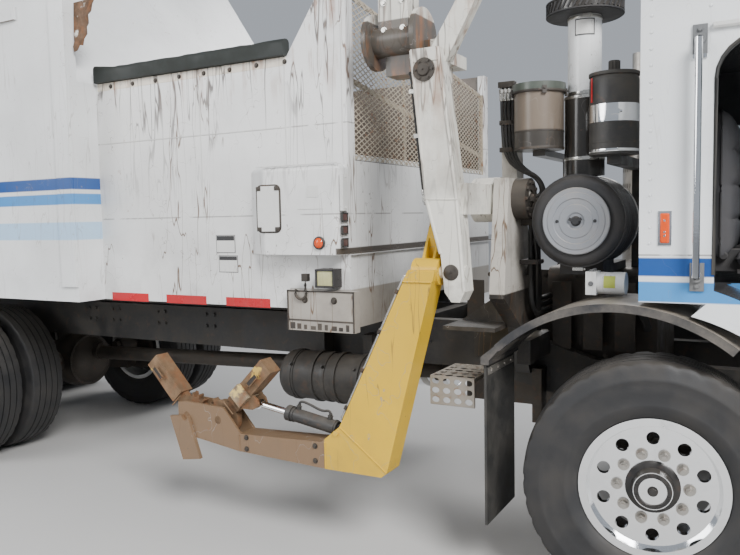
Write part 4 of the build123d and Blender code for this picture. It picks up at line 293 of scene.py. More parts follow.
def rubbery(name, base, dust=0.4, roughness=(0.55, 0.9), grain=160.0):
    """Rubber or grained plastic that holds dust, more where it looks up."""
    f = Finish(name)
    cloud = f.step(f.noise(6.0, 6.0, rough=0.66), 0.40, 0.74)
    colour = f.mix(base, DUST, f.plus(f.times(f.upward(), 0.7), f.times(cloud, 0.55)), dust)
    return f.done(colour, cloud, roughness, f.noise(grain, 4.0, offset=2), 0.0006)


def rusty(name, base, paint, paint_share):
    """Scoured steel turned brown, with what is left of its paint."""
    f = Finish(name, metallic=0.25)
    blot = f.step(f.noise(6.0, 8.0, rough=0.7), 0.38, 0.66)
    colour = f.mix(base, shade(base, 0.42), blot)
    colour = f.mix(colour, RUST, f.step(f.noise(17.0, 6.0, offset=8), 0.48, 0.64), 0.7)
    edge = 0.66 - 0.35 * paint_share
    colour = f.mix(colour, paint, f.step(f.noise(4.2, 7.0, rough=0.62, offset=12), edge, edge + 0.03))
    return f.done(colour, blot, (0.55, 0.9), f.noise(40.0, 7.0, rough=0.75), 0.002, 0.7)


def clear(name, base, roughness=0.05, transmission=0.9, grime=0.1):
    """Glass or clear plastic with a film of dirt."""
    f = Finish(name, roughness=roughness)
    f.shader.inputs["Transmission Weight"].default_value = transmission
    f.shader.inputs["IOR"].default_value = 1.47
    return f.done(f.mix(base, DUST, f.step(f.noise(5.0, 5.0), 0.45, 0.8), grime),
                  height=f.noise(60.0, 2.0), distance=0.0002, strength=0.2)


CAB_WHITE = weathered("cab_white", (0.80, 0.82, 0.83), grime=0.22, drips=0.08, rust=0.08, scratches=0.15,
                      roughness=(0.16, 0.45), stripes=((1.328, 1.408, MID_BLUE), (1.430, 1.503, DARK_BLUE)),
                      grime_top=1.0, grime_foot=0.5, seams=(1.512,), lining=(0.85, 1.90, (0.085, 0.085, 0.090)))
BODY_WHITE = weathered("body_white", (0.79, 0.80, 0.80), grime=0.30, drips=0.25, scratches=0.35,
                       stripes=((1.585, 1.693, LIGHT_BLUE), (1.801, 1.866, MID_BLUE), (1.891, 1.962, DARK_BLUE)),
                       lining=(-5.30, 2.60, (0.19, 0.15, 0.115)))
HOPPER_WHITE = weathered("hopper_white", (0.77, 0.77, 0.76), grime=0.45, drips=0.95, rust=0.5, scratches=0.8,
                         grime_top=1.65, grime_foot=1.15, seams=(2.168, 1.705), stain=(2.28, 2.56),
                         patches=(((-1.83, -1.38), (1.09, 1.315), (0.36, 0.33, 0.29)),
                                  # The second patch, a near-black strip at the front below the lamps, is painted shade
                                  # standing in for a recess.
                                  ((-1.478, -1.38), (1.500, 1.533), (0.05, 0.04, 0.03))),
                         inside=(0.985, -1.50, (0.10, 0.075, 0.055)))
PLAIN_WHITE = weathered("plain_white", (0.76, 0.76, 0.74), drips=0.3)
STACK_WHITE = weathered("stack_white", (0.78, 0.79, 0.79), grime=0.25, drips=0.2, roughness=(0.18, 0.4),
                        patches=(((-0.6, 0.0), (1.5, 2.235), GREASE), ((-0.6, 0.0), (2.594, 2.9), GREASE)))
ARM_WHITE = weathered("arm_white", (0.72, 0.70, 0.63), grime=0.85, drips=0.7, rust=0.9, scratches=0.7,
                      grime_top=2.4, grime_foot=1.2, patches=(((-1.33, -0.99), (2.37, 2.625), GREASE),),
                      stain=(1.75, 2.45))
MAST_WHITE = weathered("mast_white", (0.52, 0.49, 0.44), grime=0.95, drips=0.9, rust=1.0, scratches=0.8,
                       grime_top=2.7, grime_foot=1.9, patches=(((-1.1, -0.6), (0.8, 1.31), GREASE),))
YELLOW = weathered("boom_yellow", (0.68, 0.42, 0.02), grime=0.28, drips=0.6, rust=0.9, scratches=0.9,
                   grime_top=0.9, grime_foot=0.45, patches=(((-2.6, -1.465), (0.3, 0.8), SCOURED),))
TAN = weathered("tan_paint", (0.17, 0.135, 0.105), grime=0.6, drips=0.3, rust=0.4,
                patches=(((-0.7, -0.3), (1.9, 2.075), GREASE), ((-0.7, -0.3), (2.252, 2.31), (0.05, 0.07, 0.06))))
RED_TAPE = weathered("red_tape", (0.52, 0.012, 0.02), grime=0.20, drips=0.3, rust=0.1, roughness=(0.25, 0.5),
                     grime_top=1.3, grime_foot=1.15)
FLANGE_CREAM = weathered("flange_cream", (0.74, 0.67, 0.56), grime=0.35, drips=0.8, rust=1.0, scratches=0.6,
                         grime_top=2.7, grime_foot=2.45, stain=(2.10, 2.40))
FILTER_LABEL = weathered("filter_label", (0.50, 0.56, 0.10), grime=0.4, drips=0.2, rust=0.1)
PALE_PLATE = weathered("pale_plate", (0.70, 0.70, 0.68), drips=0.2, rust=0.1)
FRAME_BLACK = cast("frame_black", (0.030, 0.029, 0.028), 0.22, metallic=0.1)
IRON = cast("greasy_iron", (0.055, 0.048, 0.042), 0.28, metallic=0.55)
STEEL = cast("worn_steel", (0.42, 0.40, 0.37), 0.35, (0.28, 0.6), 0.9)
MESH_STEEL = cast("mesh_steel", (0.46, 0.40, 0.31), 0.55, metallic=0.2, rust=1.4)
STEP_STEEL = cast("step_steel", (0.36, 0.33, 0.29), rust=0.8)
# Near-black finish for stained dark parts, also used for dark sheets that are painted shade in gaps, slots and holes.
STAINED_AND_SHADE = cast("stained_black_and_painted_shade", (0.030, 0.024, 0.020), 0.30, metallic=0.1)
HUB_BLACK = cast("hub_black", (0.016, 0.015, 0.015), 0.12, (0.35, 0.7), 0.1)
FITTING = cast("fitting_steel", (0.50, 0.49, 0.46), 0.25, (0.22, 0.5), 0.9)
ALLOY = polished("polished_alloy", (0.86, 0.87, 0.88))
CHROME = polished("chrome", (0.88, 0.89, 0.90), (0.04, 0.14), 0.08)
MIRROR = polished("mirror_glass", (0.90, 0.92, 0.93), (0.02, 0.08), 0.05)
BLACK_PLASTIC = rubbery("black_plastic", (0.022, 0.022, 0.024), 0.14)
FENDER_BLACK = rubbery("fender_black", (0.030, 0.030, 0.032), 0.62, (0.35, 0.8), 60.0)
GREY_PLASTIC = rubbery("grey_plastic", (0.13, 0.135, 0.14), 0.20)
COVER_GREY = rubbery("cover_grey", (0.24, 0.25, 0.27), 0.70, (0.35, 0.7))
TYRE_RUBBER = rubbery("tyre_rubber", (0.017, 0.017, 0.018), 0.13, grain=90.0)
BLACK_RUBBER = rubbery("black_rubber", (0.022, 0.022, 0.021), 0.20, grain=70.0)
HOSE_RUBBER = rubbery("hose_rubber", (0.018, 0.018, 0.018), 0.20, grain=300.0)
ROLL_RUBBER = rubbery("roll_rubber", (0.009, 0.013, 0.011), 0.05, grain=45.0)
CLOTH = rubbery("seat_cloth", (0.045, 0.045, 0.05), 0.10, grain=700.0)
PIPING = rubbery("seat_piping", (0.020, 0.020, 0.022), 0.08, grain=500.0)
GRIPPER_RUST = rusty("gripper_rust", (0.25, 0.155, 0.085), (0.62, 0.42, 0.10), 0.10)
GEAR_RUST = rusty("gear_rust", (0.42, 0.33, 0.22), (0.70, 0.52, 0.20), 0.4)
TORN_RUST = rusty("torn_rust", (0.16, 0.09, 0.05), (0.66, 0.64, 0.58), 0.2)
GLASS = clear("window_glass", (0.72, 0.80, 0.80))
ORANGE = clear("lamp_orange", (0.82, 0.09, 0.01), 0.12, 0.15, 0.03)
RED = clear("lamp_red", (0.70, 0.02, 0.02), 0.12, 0.35)
CLEAR = clear("lamp_clear", (0.9, 0.92, 0.92), 0.08, 0.6)
WORK_LENS = clear("work_lens", (0.62, 0.60, 0.30), 0.3, 0.25, 0.5)
DARK_LENS = clear("dark_lens", (0.06, 0.02, 0.02), 0.18, 0.0, 0.4)

NODE_FINISHES = {
    CAB_WHITE: "cab_shell door_left door_right_front door_right_rear",
    BODY_WHITE: "body_shell tailgate",
    HOPPER_WHITE: "hopper_shell side_housing",
    ARM_WHITE: "lift_arm",
    MAST_WHITE: "arm_mast",
    YELLOW: "boom",
    GRIPPER_RUST: "finger_front finger_rear",
    FRAME_BLACK: "frame_rails body_sills air_tank oil_canister grip_barrel reach_barrel hoist_barrels",
    IRON: "front_axle_beam suspension rear_axles engine_block rotary_actuator knuckle_right knuckle_left",
    STEEL: "packer_ram mesh_guard side_step exhaust_stack",
    ALLOY: "fuel_tank front_rim_right front_rim_left",
    CHROME: "grip_rod reach_rod hoist_rods grab_handles",
    BLACK_PLASTIC: "mirrors air_cleaner",
    FENDER_BLACK: "fenders",
    GREY_PLASTIC: "dashboard",
    BLACK_RUBBER: "mudflaps sill_flap",
    HOSE_RUBBER: "arm_hoses",
    TYRE_RUBBER: "front_tyre_right front_tyre_left rear_wheels_fore_right rear_wheels_fore_left "
                 "rear_wheels_aft_right rear_wheels_aft_left",
    CLOTH: "seats",
    GLASS: "cab_glass",
    ORANGE: "side_lamps",
    RED: "tail_lamps",
    CLEAR: "headlamps",
    TAN: "fluid_canister",
    STACK_WHITE: "intake_stack",
    PLAIN_WHITE: "fuel_filter front_bumper",
}


def finish_nodes():
    """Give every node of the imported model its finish."""
    for finish, names in NODE_FINISHES.items():
        for name in names.split():
            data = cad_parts[name].data
            data.materials.clear()
            data.materials.append(finish)


# Shapes. A place is a Vector, or three numbers for at().

def spot(place):
    return place if isinstance(place, Vector) else at(*place)


def steps(low, high, count):
    """Evenly spaced numbers from low to high."""
    return [low + (high - low) * k / count for k in range(count + 1)]


def around(count, radius=1.0, first=0.0):
    """Points evenly spaced round a circle, from a share of a step on."""
    turns = [2 * pi * (k + first) / count for k in range(count)]
    return [(radius * cos(turn), radius * sin(turn)) for turn in turns]


def facing(origin, direction):
    """Place whose Z points along a direction."""
    return Matrix.Translation(origin) @ direction.to_track_quat("Z", "Y").to_matrix().to_4x4()


def piece(finish, body="chassis", bevel=0.0, smooth=False, replaces=(), name=None):
    """Make build(bm) below an object that rides on a body, with the function's name if none is given."""
    def make(build):
        label = name or build.__name__
        mesh = bpy.data.meshes.new(label)
        bm = bmesh.new()
        build(bm)
        bmesh.ops.recalc_face_normals(bm, faces=bm.faces)
        bm.to_mesh(mesh)
        bm.free()
        mesh.materials.append(finish)
        made = add_object(label, mesh)
        if bevel:
            rounding = made.modifiers.new("rounding", "BEVEL")
            rounding.width = bevel
            rounding.segments = 2
            rounding.limit_method = "ANGLE"
            rounding.angle_limit = radians(40)
        if smooth or bevel:
            mesh.shade_smooth()
            mesh.set_sharp_from_angle(angle=radians(35))
        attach(made, body)
        if replaces:
            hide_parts(*replaces)
        return made
    return make


def join(bm, rings, closed=True, capped=False):
    """Faces from each ring of vertices to the next."""
    for a, b in zip(rings, rings[1:]):
        for k in range(len(a) if closed else len(a) - 1):
            n = (k + 1) % len(a)
            bm.faces.new((a[k], a[n], b[n], b[k]))
    if capped:
        bm.faces.new(rings[0][::-1])
        bm.faces.new(rings[-1])


def add_boxes(bm, *corners):
    """Boxes, each between two corners."""
    for low, high in zip(corners[::2], corners[1::2]):
        low, high = spot(low), spot(high)
        place = Matrix.Translation((low + high) / 2) @ Matrix.Diagonal((*(high - low), 1))
        bmesh.ops.create_cube(bm, size=1.0, matrix=place)


def add_block(bm, centre, along, up, size):
    """Box about a centre, its length along one direction and its height up another."""
    along, up = along.normalized(), up.normalized()
    turn = Matrix((along, up.cross(along), up)).transposed().to_4x4()
    bmesh.ops.create_cube(bm, size=1.0,
                          matrix=Matrix.Translation(spot(centre)) @ turn @ Matrix.Diagonal((*size, 1)))


def add_bar(bm, start, end, radius, end_radius=None, segments=20):
    """Round bar between two places, tapered if it is given an end radius."""
    start, end = spot(start), spot(end)
    bmesh.ops.create_cone(bm, cap_ends=True, segments=segments, radius1=radius,
                          radius2=radius if end_radius is None else end_radius,
                          depth=(end - start).length, matrix=facing((start + end) / 2, end - start))


def add_lathe(bm, origin, direction, profile, segments=64, shift=None, closed=True):
    """Turn (along, radius) pairs about an axis; shift(point, turn) may add to a radius."""
    place = facing(spot(origin), direction)
    rings = []
    for turn, (c, s) in enumerate(around(segments)):
        radii = [radius + (shift(index, turn) if shift else 0) for index, (_, radius) in enumerate(profile)]
        rings.append([bm.verts.new(place @ Vector((radius * c, radius * s, along)))
                      for (along, _), radius in zip(profile, radii)])
    join(bm, rings + rings[:1], closed)


def add_disc(bm, origin, direction, profile, segments=40):
    """Turned shape whose profile starts and ends on its axis."""
    add_lathe(bm, origin, direction, profile, segments, closed=False)


def add_ring(bm, centre, direction, inner, outer, width):
    """Flat ring or band about an axis."""
    half = width / 2
    add_lathe(bm, centre, direction, [(-half, inner), (-half, outer * 0.995), (-half * 0.8, outer),
                                      (half * 0.8, outer), (half, outer * 0.995), (half, inner)], 48)


def add_prism(bm, outline, corner, along_u, along_v, depth):
    """Extrude an outline of (u, v) pairs on two directions, by a depth vector."""
    near = [bm.verts.new(spot(corner) + along_u * u + along_v * v) for u, v in outline]
    join(bm, [near, [bm.verts.new(vert.co + depth) for vert in near]], capped=True)


def add_hexes(bm, direction, radius, height, *places):
    """Hexagonal nuts or bolt heads with their washers."""
    direction = direction.normalized()
    for place in map(spot, places):
        foot = place + direction * height * 0.18
        add_bar(bm, place, foot, radius * 1.35, segments=16)
        add_bar(bm, foot, place + direction * height, radius, radius * 0.94, 6)


def add_tube(bm, points, radius, segments=12):
    """Round tube along a list of places."""
    points = [spot(p) for p in points]
    rings = []
    for index, point in enumerate(points):
        place = facing(point, points[min(index + 1, len(points) - 1)] - points[max(index - 1, 0)])
        rings.append([bm.verts.new(place @ Vector((c, s, 0))) for c, s in around(segments, radius)])
    join(bm, rings, capped=True)


def add_grid(bm, surface, across, up):
    """Sheet of faces through surface(a, b) at each pair of two lists."""
    join(bm, [[bm.verts.new(surface(a, b)) for b in up] for a in across], closed=False)


def add_beads(bm, radius, *lines, pitch=0.009):
    """Weld beads: rippled half-sunk rods, each between two places."""
    for start, end in lines:
        start, end = spot(start), spot(end)
        length = (end - start).length
        count = max(int(length / pitch), 2) * 2
        ripples = [(length * k / count, radius * (1.0 if k % 2 else 0.72)) for k in range(count + 1)]
        add_disc(bm, start, (end - start).normalized(), [(0, 0.0), *ripples, (length, 0.0)], 8)


def add_crimp(bm, origin, direction, radius):
    """Hose end: a crimped sleeve, a swivel nut and a neck."""
    origin, direction = spot(origin), direction.normalized()
    sleeve = ((0.0, 0.0), (0.0, 1.25), (0.004, 1.45), (0.012, 1.30), (0.020, 1.45), (0.028, 1.30), (0.036, 1.45),
              (0.040, 1.1), (0.040, 0.0))
    add_disc(bm, origin, direction, [(along, share * radius) for along, share in sleeve], 16)
    add_bar(bm, origin + direction * 0.038, origin + direction * 0.056, radius * 1.65, segments=6)
    add_bar(bm, origin + direction * 0.056, origin + direction * 0.070, radius * 0.9, segments=12)


def add_cap(bm, centre, direction, radius, height=0.007):
    """Domed end cap of a pin, with a grease nipple."""
    top = spot(centre) + direction * height
    add_disc(bm, centre, direction, [(0, 0.0), (0, radius), (height * 0.5, radius), (height, radius * 0.84),
                                     (height * 1.15, 0.0)], 28)
    add_bar(bm, top, top + direction * 0.008, 0.0038, 0.0028, 8)


def hose(name, points, radius, body="chassis"):
    """Clamped hose or pipe: a smooth round curve through control points."""
    data = bpy.data.curves.new(name, "CURVE")
    data.dimensions = "3D"
    spline = data.splines.new("NURBS")
    spline.points.add(len(points) - 1)
    for point, place in zip(spline.points, points):
        point.co = (*spot(place), 1)
    spline.order_u = 3
    spline.use_endpoint_u = True
    spline.resolution_u = 8
    data.bevel_depth = radius
    data.bevel_resolution = 3
    data.use_fill_caps = True
    data.materials.append(HOSE_RUBBER)
    made = add_object(name, data)
    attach(made, body)


add_camera()
finish_nodes()

# Wheels

TYRE_RADIUS, STUDS, STUD_CIRCLE, STEER_REST = 0.538, 10, 0.142875, radians(8.7)
WHEEL_NUT = 0.0185, 0.030
# Share of half the width, and radius or depth of the tread
SIDEWALL = ((0.80, 0.303), (0.90, 0.318), (0.955, 0.345), (0.972, 0.352), (0.975, 0.362), (0.965, 0.368), (0.99, 0.405),
            (1.0, 0.430), (0.992, 0.452), (1.004, 0.458), (1.004, 0.468), (0.985, 0.474), (0.955, 0.500),
            (0.925, 0.512), (0.90, 0.526))
CROWN = ((0.86, 0.006), (0.56, 0.002), (0.55, 0.016), (0.50, 0.016), (0.49, 0.001), (0.21, 0), (0.20, 0.016),
         (0.15, 0.016), (0.14, 0))


def add_tyre(bm, origin, direction, width, bead, centre=0.0, segments=144):
    """Tyre with ribs, and lugs cut across its shoulders. Bead is half the width at the rim."""
    half = width / 2
    outer = [(bead, 0.285), (bead, 0.303), *((share * half, radius) for share, radius in SIDEWALL),
             *((share * half, TYRE_RADIUS - depth) for share, depth in CROWN)]
    section = [(centre + y, radius) for y, radius in outer] + [(centre - y, radius) for y, radius in outer[::-1]]
    lugs = [min(index, len(section) - 1 - index) in (15, 16, 17) for index in range(len(section))]
    add_lathe(bm, origin, direction, section, segments,
              lambda index, turn: -0.006 if lugs[index] and turn % 4 == 0 else 0)


for name, side in SIDES:
    body = f"front_wheel_{name}"
    out = Vector((-side * sin(STEER_REST), side * cos(STEER_REST), 0))
    centre = at(0, side * 0.850, TYRE_RADIUS) + out * 0.151
    along = out.cross(UP).normalized()

    def on_disc(count, radius, height, first=0.0):
        return [centre + out * height + along * c + UP * s for c, s in around(count, radius, first)]

    @piece(TYRE_RUBBER, body, smooth=True, replaces=(f"front_tyre_{name}",), name=f"front_tyre_tread_{name}")
    def tread(bm):
        add_tyre(bm, centre, out, 0.315, 0.1125)

    @piece(STEEL, body, name=f"front_wheel_nuts_{name}")
    def nuts(bm):
        for foot in on_disc(STUDS, STUD_CIRCLE, 0.089):
            add_hexes(bm, out, *WHEEL_NUT, foot)
            add_bar(bm, foot, foot + out * 0.042, 0.0105, segments=12)

    @piece(HUB_BLACK, body, smooth=True, name=f"front_hub_cap_{name}")
    def hub(bm):
        add_disc(bm, centre + out * 0.0895, out,
                 [(0.0, 0.0), (0.0, 0.108), (0.006, 0.110), (0.010, 0.104), (0.012, 0.084), (0.055, 0.079),
                  (0.062, 0.074), (0.064, 0.060), (0.060, 0.055), (0.060, 0.0)], 48)
        add_hexes(bm, out, 0.0058, 0.007, *on_disc(8, 0.067, 0.1505, 0.5))
        add_hexes(bm, out, 0.016, 0.014, *on_disc(1, 0.0, 0.1495))


for node, out in ((f"rear_wheels_{axle}_{name}", LEFT * side) for axle in ("fore", "aft") for name, side in SIDES):
    origin = Vector((middle_x(node), 0, TYRE_RADIUS))
    pair = (0.732, 1.072)

    @piece(TYRE_RUBBER, node, smooth=True, replaces=(node,), name=f"{node}_tyres")
    def tyres(bm):
        for centre in pair:
            add_tyre(bm, origin, out, 0.280, 0.1007, centre, segments=120)

    @piece(PLAIN_WHITE, node, smooth=True, name=f"{node}_rims")
    def rims(bm):
        section = [(-0.115, 0.299), (-0.101, 0.299), (-0.101, 0.284), (0.101, 0.284), (0.101, 0.299),
                   (0.115, 0.299), (0.115, 0.267), (0.02, 0.258), (-0.02, 0.258), (-0.115, 0.267)]
        for centre in pair:
            add_lathe(bm, origin, out, [(centre + along, radius) for along, radius in section], 72)
        add_lathe(bm, origin, out, [(0.887, 0.110), (0.887, 0.262), (0.917, 0.262), (0.917, 0.110)], 72)
        add_lathe(bm, origin, out, [(0.79, 0.255), (0.79, 0.268), (1.0, 0.268), (1.0, 0.255)], 72)

    @piece(IRON, node, smooth=True, name=f"{node}_hub")
    def drum(bm):
        add_lathe(bm, origin, out, [(0.640, 0.056), (0.640, 0.205), (0.860, 0.205), (0.880, 0.120), (1.03, 0.112),
                                    (1.045, 0.104), (1.060, 0.100), (1.060, 0.056)])
        for bolt, count, radius, height, first in ((WHEEL_NUT, STUDS, STUD_CIRCLE, 0.917, 0.0),
                                                   ((0.009, 0.010), 8, 0.082, 1.0598, 0.5)):
            add_hexes(bm, out, *bolt, *(origin + out * height + Vector((c, 0, s))
                                        for c, s in around(count, radius, first)))


# Mesh between the hopper and the cab

MESH_X, MESH_HALF, MESH_FOOT = -1.4785, 0.947, 1.985


def mesh_top(y):
    return 2.70 - 0.14 * y / 0.95


@piece(MESH_STEEL, "body", replaces=("mesh_guard",))
def mesh_wires(bm):
    pitch = 0.030
    lean = pitch / 0.058
    for way in (1, -1):
        start = MESH_FOOT - MESH_HALF * lean * 2 - 0.05
        while start < 2.9 + MESH_HALF * lean * 2:
            wire = [(y, start + lean * (MESH_HALF + way * y)) for y in steps(-MESH_HALF, MESH_HALF, 96)]
            wire = [(y, z) for y, z in wire if MESH_FOOT <= z <= mesh_top(y)]
            if len(wire) > 1:
                near, far = (at(-1.4705 + way * 0.0012, *wire[end]) for end in (0, -1))
                flat = (far - near).normalized().cross(AHEAD) * 0.0028
                join(bm, [[bm.verts.new(end + flat * a + AHEAD * b) for a, b in
                           ((-1, -0.0011), (1, -0.0011), (1, 0.0011), (-1, 0.0011))] for end in (near, far)])
            start += pitch


@piece(MESH_STEEL, "body", bevel=0.001)
def mesh_frame(bm):
    def bar(outline, depth):
        add_prism(bm, outline, (MESH_X, 0, 0), LEFT, UP, AHEAD * depth)

    low = MESH_FOOT - 0.004
    for y0, y1, edge in ((-MESH_HALF, -MESH_HALF + 0.032, -MESH_HALF),
                         (MESH_HALF - 0.032, MESH_HALF, MESH_HALF - 0.004)):
        bar([(y0, low), (y1, low), (y1, mesh_top(y1)), (y0, mesh_top(y0))], 0.004)
        bar([(edge, low), (edge + 0.004, low), (edge + 0.004, mesh_top(edge)), (edge, mesh_top(edge))], 0.017)
    for drop in (0.0, 0.43):
        right, left = mesh_top(-MESH_HALF) - drop, mesh_top(MESH_HALF) - drop
        bar([(-MESH_HALF, right - 0.030), (MESH_HALF, left - 0.030), (MESH_HALF, left), (-MESH_HALF, right)], 0.005)
    for y in (-0.32, 0.32):
        add_boxes(bm, (MESH_X, y - 0.014, MESH_FOOT), (-1.4745, y + 0.014, mesh_top(y) - 0.01))
    add_hexes(bm, AHEAD, 0.007, 0.006, *((-1.4735, -0.90 + 0.30 * k, MESH_FOOT + 0.012) for k in range(7)))


@piece(PALE_PLATE, "body", bevel=0.001)
def mesh_foot(bm):
    add_boxes(bm, (MESH_X, -MESH_HALF, MESH_FOOT + 0.002), (-1.4735, MESH_HALF, MESH_FOOT + 0.030))


# Dark strip under the mesh foot plate: painted shade in the gap below it.
@piece(STAINED_AND_SHADE, "body")
def mesh_foot_gap_shade(bm):
    add_boxes(bm, (-1.4775, -MESH_HALF, MESH_FOOT - 0.006), (-1.4745, MESH_HALF, MESH_FOOT + 0.004))


# Hopper's right side, at Y SIDE, and the housing in front of it, at Y HOUSING and below it BOX

SIDE, HOUSING, BOX = -1.0205, -1.1205, -1.0755


@piece(ROLL_RUBBER, "body", smooth=True, replaces=("sill_flap",))
def sill_roll(bm):
    """Worn roll along the sill, with its raised front corner."""
    rear, foot = -3.2375, 2.5395
    section = [(-1.0480, foot), (-1.0495, 2.548), (-1.0495, 2.615), (-1.0480, 2.630), (-1.040, 2.643),
               (-1.025, 2.6485), (-1.008, 2.6485), (-0.996, 2.642), (-0.9905, 2.628), (-0.9905, foot)]
    rings = []
    for x in steps(rear, -1.8155, 110):
        sunk = 0.018 * (1 - max(0.0, 1 - (x - rear) / 0.16))
        rings.append([])
        for y, z in section:
            lump = sin(11 * x + 3 * z) * 0.5 + sin(23 * x + 17 * y) * 0.3 + sin(37 * x - 29 * z) * 0.2
            wide = (lump * 0.0016 if y > -1.02 else 0) + 0.0012 * abs(lump)
            high = (sunk + abs(lump) * 0.004) * (z - foot) / 0.109
            rings[-1].append(bm.verts.new(at(x, y + wide, z - high)))
    join(bm, rings, capped=True)


@piece(IRON, "body", bevel=0.001)
def sill_bolts(bm):
    add_hexes(bm, RIGHT, 0.0105, 0.009, *((-3.12 + 0.185 * k, SIDE, 2.513 - 0.0015 * (k % 3)) for k in range(8)))


@piece(FLANGE_CREAM, "body", bevel=0.001)
def sill_flange(bm):
    add_boxes(bm, (-3.236, -1.0212, 2.492), (-1.818, -1.018, 2.5375))


@piece(RED_TAPE, "body")
def side_tapes(bm):
    for x in (-3.19, -2.733, -2.276):
        add_boxes(bm, (x, SIDE - 0.0012, 1.201), (x + 0.31, SIDE + 0.002, 1.251))


@piece(PALE_PLATE, "body", smooth=True)
def hopper_seams(bm):
    add_beads(bm, 0.0032, *(((x, SIDE, 1.72), (x, SIDE, 2.50)) for x in (-2.42, -1.83)),
              ((-3.24, SIDE, 2.17), (-1.83, SIDE, 2.17)))
    add_beads(bm, 0.0040, ((-1.4795, -1.019, 2.00), (-1.4795, -1.019, 2.66)))


def add_rounded(bm, low, high, radius, y, depth):
    """Upright plate with rounded corners, between two (X, Z) corners."""
    corners = ((high[0] - radius, high[1] - radius, 0), (low[0] + radius, high[1] - radius, 90),
               (low[0] + radius, low[1] + radius, 180), (high[0] - radius, low[1] + radius, 270))
    turns = [(x, z, radians(start + 15 * k)) for x, z, start in corners for k in range(7)]
    add_prism(bm, [(x + radius * cos(turn), z + radius * sin(turn)) for x, z, turn in turns], (0, y, 0), AHEAD, UP,
              RIGHT * depth)


@piece(PALE_PLATE, "body", bevel=0.0015)
def access_cover(bm):
    add_rounded(bm, (-1.955, 1.622), (-1.815, 1.860), 0.028, HOUSING + 0.002, 0.0065)


@piece(STAINED_AND_SHADE, "body")
def cover_seal(bm):
    add_rounded(bm, (-1.963, 1.613), (-1.804, 1.868), 0.034, HOUSING + 0.001, 0.0025)


@piece(IRON, "body", bevel=0.0012)
def cover_latches(bm):
    for x in (-1.944, -1.826):
        for z in (1.634, 1.847):
            add_boxes(bm, (x - 0.014, HOUSING - 0.0085, z - 0.011), (x + 0.014, HOUSING, z + 0.011))
            add_bar(bm, (x, HOUSING - 0.0080, z), (x, HOUSING - 0.0110, z), 0.006, segments=12)


@piece(PALE_PLATE, "body", smooth=True)
def housing_seams(bm):
    add_beads(bm, 0.0028, ((-1.70, HOUSING, 1.735), (-1.545, HOUSING, 1.735)),
              ((-1.545, HOUSING, 1.735), (-1.60, HOUSING, 1.505)))
    add_beads(bm, 0.0035, ((-1.956, HOUSING, 1.961), (-1.455, HOUSING, 1.961)))


@piece(IRON, "body", bevel=0.001)
def box_bolts(bm):
    add_hexes(bm, RIGHT, 0.014, 0.012, (-1.70, BOX, 1.262), (-1.52, BOX, 1.262))


@piece(STAINED_AND_SHADE, "body", bevel=0.0008)
def box_frame(bm):
    for x in (-1.812, -1.408):
        add_boxes(bm, (x, BOX - 0.004, 1.100), (x + 0.007, BOX + 0.002, 1.311))
    add_boxes(bm, (-1.812, BOX - 0.004, 1.304), (-1.401, BOX + 0.002, 1.311),
              (-1.812, BOX - 0.003, 1.150), (-1.401, BOX + 0.002, 1.158))
    # Ragged row of dark boxes along the foot: painted shade standing in for holes in the box.
    for k in range(9):
        x = -1.795 + 0.043 * k
        add_boxes(bm, (x, BOX - 0.0015, 1.106), (x + 0.030 - 0.006 * (k % 3), BOX + 0.002, 1.140 - 0.005 * (k % 4)))


@piece(IRON, "body", smooth=True)
def side_hook(bm):
    turns = [radians(turn) for turn in steps(-30, 210, 14)]
    add_tube(bm, [(-1.6865, -1.088, 1.375), (-1.6865, -1.088, 1.34),
                  *((-1.716 + 0.034 * cos(turn), -1.088, 1.300 - 0.034 * sin(turn)) for turn in turns)], 0.0075, 10)
    add_boxes(bm, (-1.705, -1.097, 1.36), (-1.668, -1.070, 1.40))


PLATES = ((-2.33, -2.20, 1.505, 1.60, 0.028), (-2.315, -2.185, 1.395, 1.485, 0.024))


@piece(PALE_PLATE, "body", bevel=0.0006)
def blank_plates(bm):
    for rear, front, foot, top, _ in PLATES:
        add_boxes(bm, (rear, SIDE - 0.0018, foot), (front, SIDE + 0.001, top))
    add_boxes(bm, (-1.640, HOUSING - 0.0016, 1.793), (-1.572, HOUSING + 0.001, 1.852))


@piece(BLACK_PLASTIC, "body")
def plate_bands(bm):
    for rear, front, foot, top, band in PLATES:
        add_boxes(bm, (rear + 0.002, SIDE - 0.0022, top - band), (front - 0.002, SIDE + 0.001, top - 0.002),
                  (rear - 0.003, SIDE - 0.0012, foot - 0.003), (front + 0.003, SIDE + 0.001, top + 0.003))


@piece(PALE_PLATE, "body", bevel=0.003)
def front_cable_box(bm):
    add_boxes(bm, (-1.4515, -1.108, 1.722), (-1.432, -1.060, 1.905))
    add_hexes(bm, AHEAD, 0.006, 0.005, *((-1.432, -1.084, z) for z in (1.736, 1.891)))


@piece(TORN_RUST, "body")
def torn_bracket(bm):
    """Bent, rusted-through plate on the raised front corner of the body, ragged at its lower rear edge."""
    edge = [(-3.045, 2.995), (-3.238, 2.995), (-3.238, 2.80), (-3.231, 2.762), (-3.238, 2.735), (-3.226, 2.703),
            (-3.205, 2.712), (-3.194, 2.742), (-3.172, 2.738), (-3.166, 2.778), (-3.14, 2.802), (-3.135, 2.842),
            (-3.106, 2.856), (-3.098, 2.903), (-3.068, 2.918), (-3.06, 2.957)]
    near, far = ([bm.verts.new(at(x, y + 0.014 * sin(19 * x + 13 * z), z)) for x, z in edge]
                 for y in (-1.178, -1.174))
    join(bm, [far, near])
    for ring, y in ((near, -1.172), (far[::-1], -1.168)):
        centre = bm.verts.new(at(-3.18, y, 2.90))
        for k, vert in enumerate(ring):
            bm.faces.new((vert, ring[(k + 1) % len(ring)], centre))


# Lamps on the front of the hopper's side

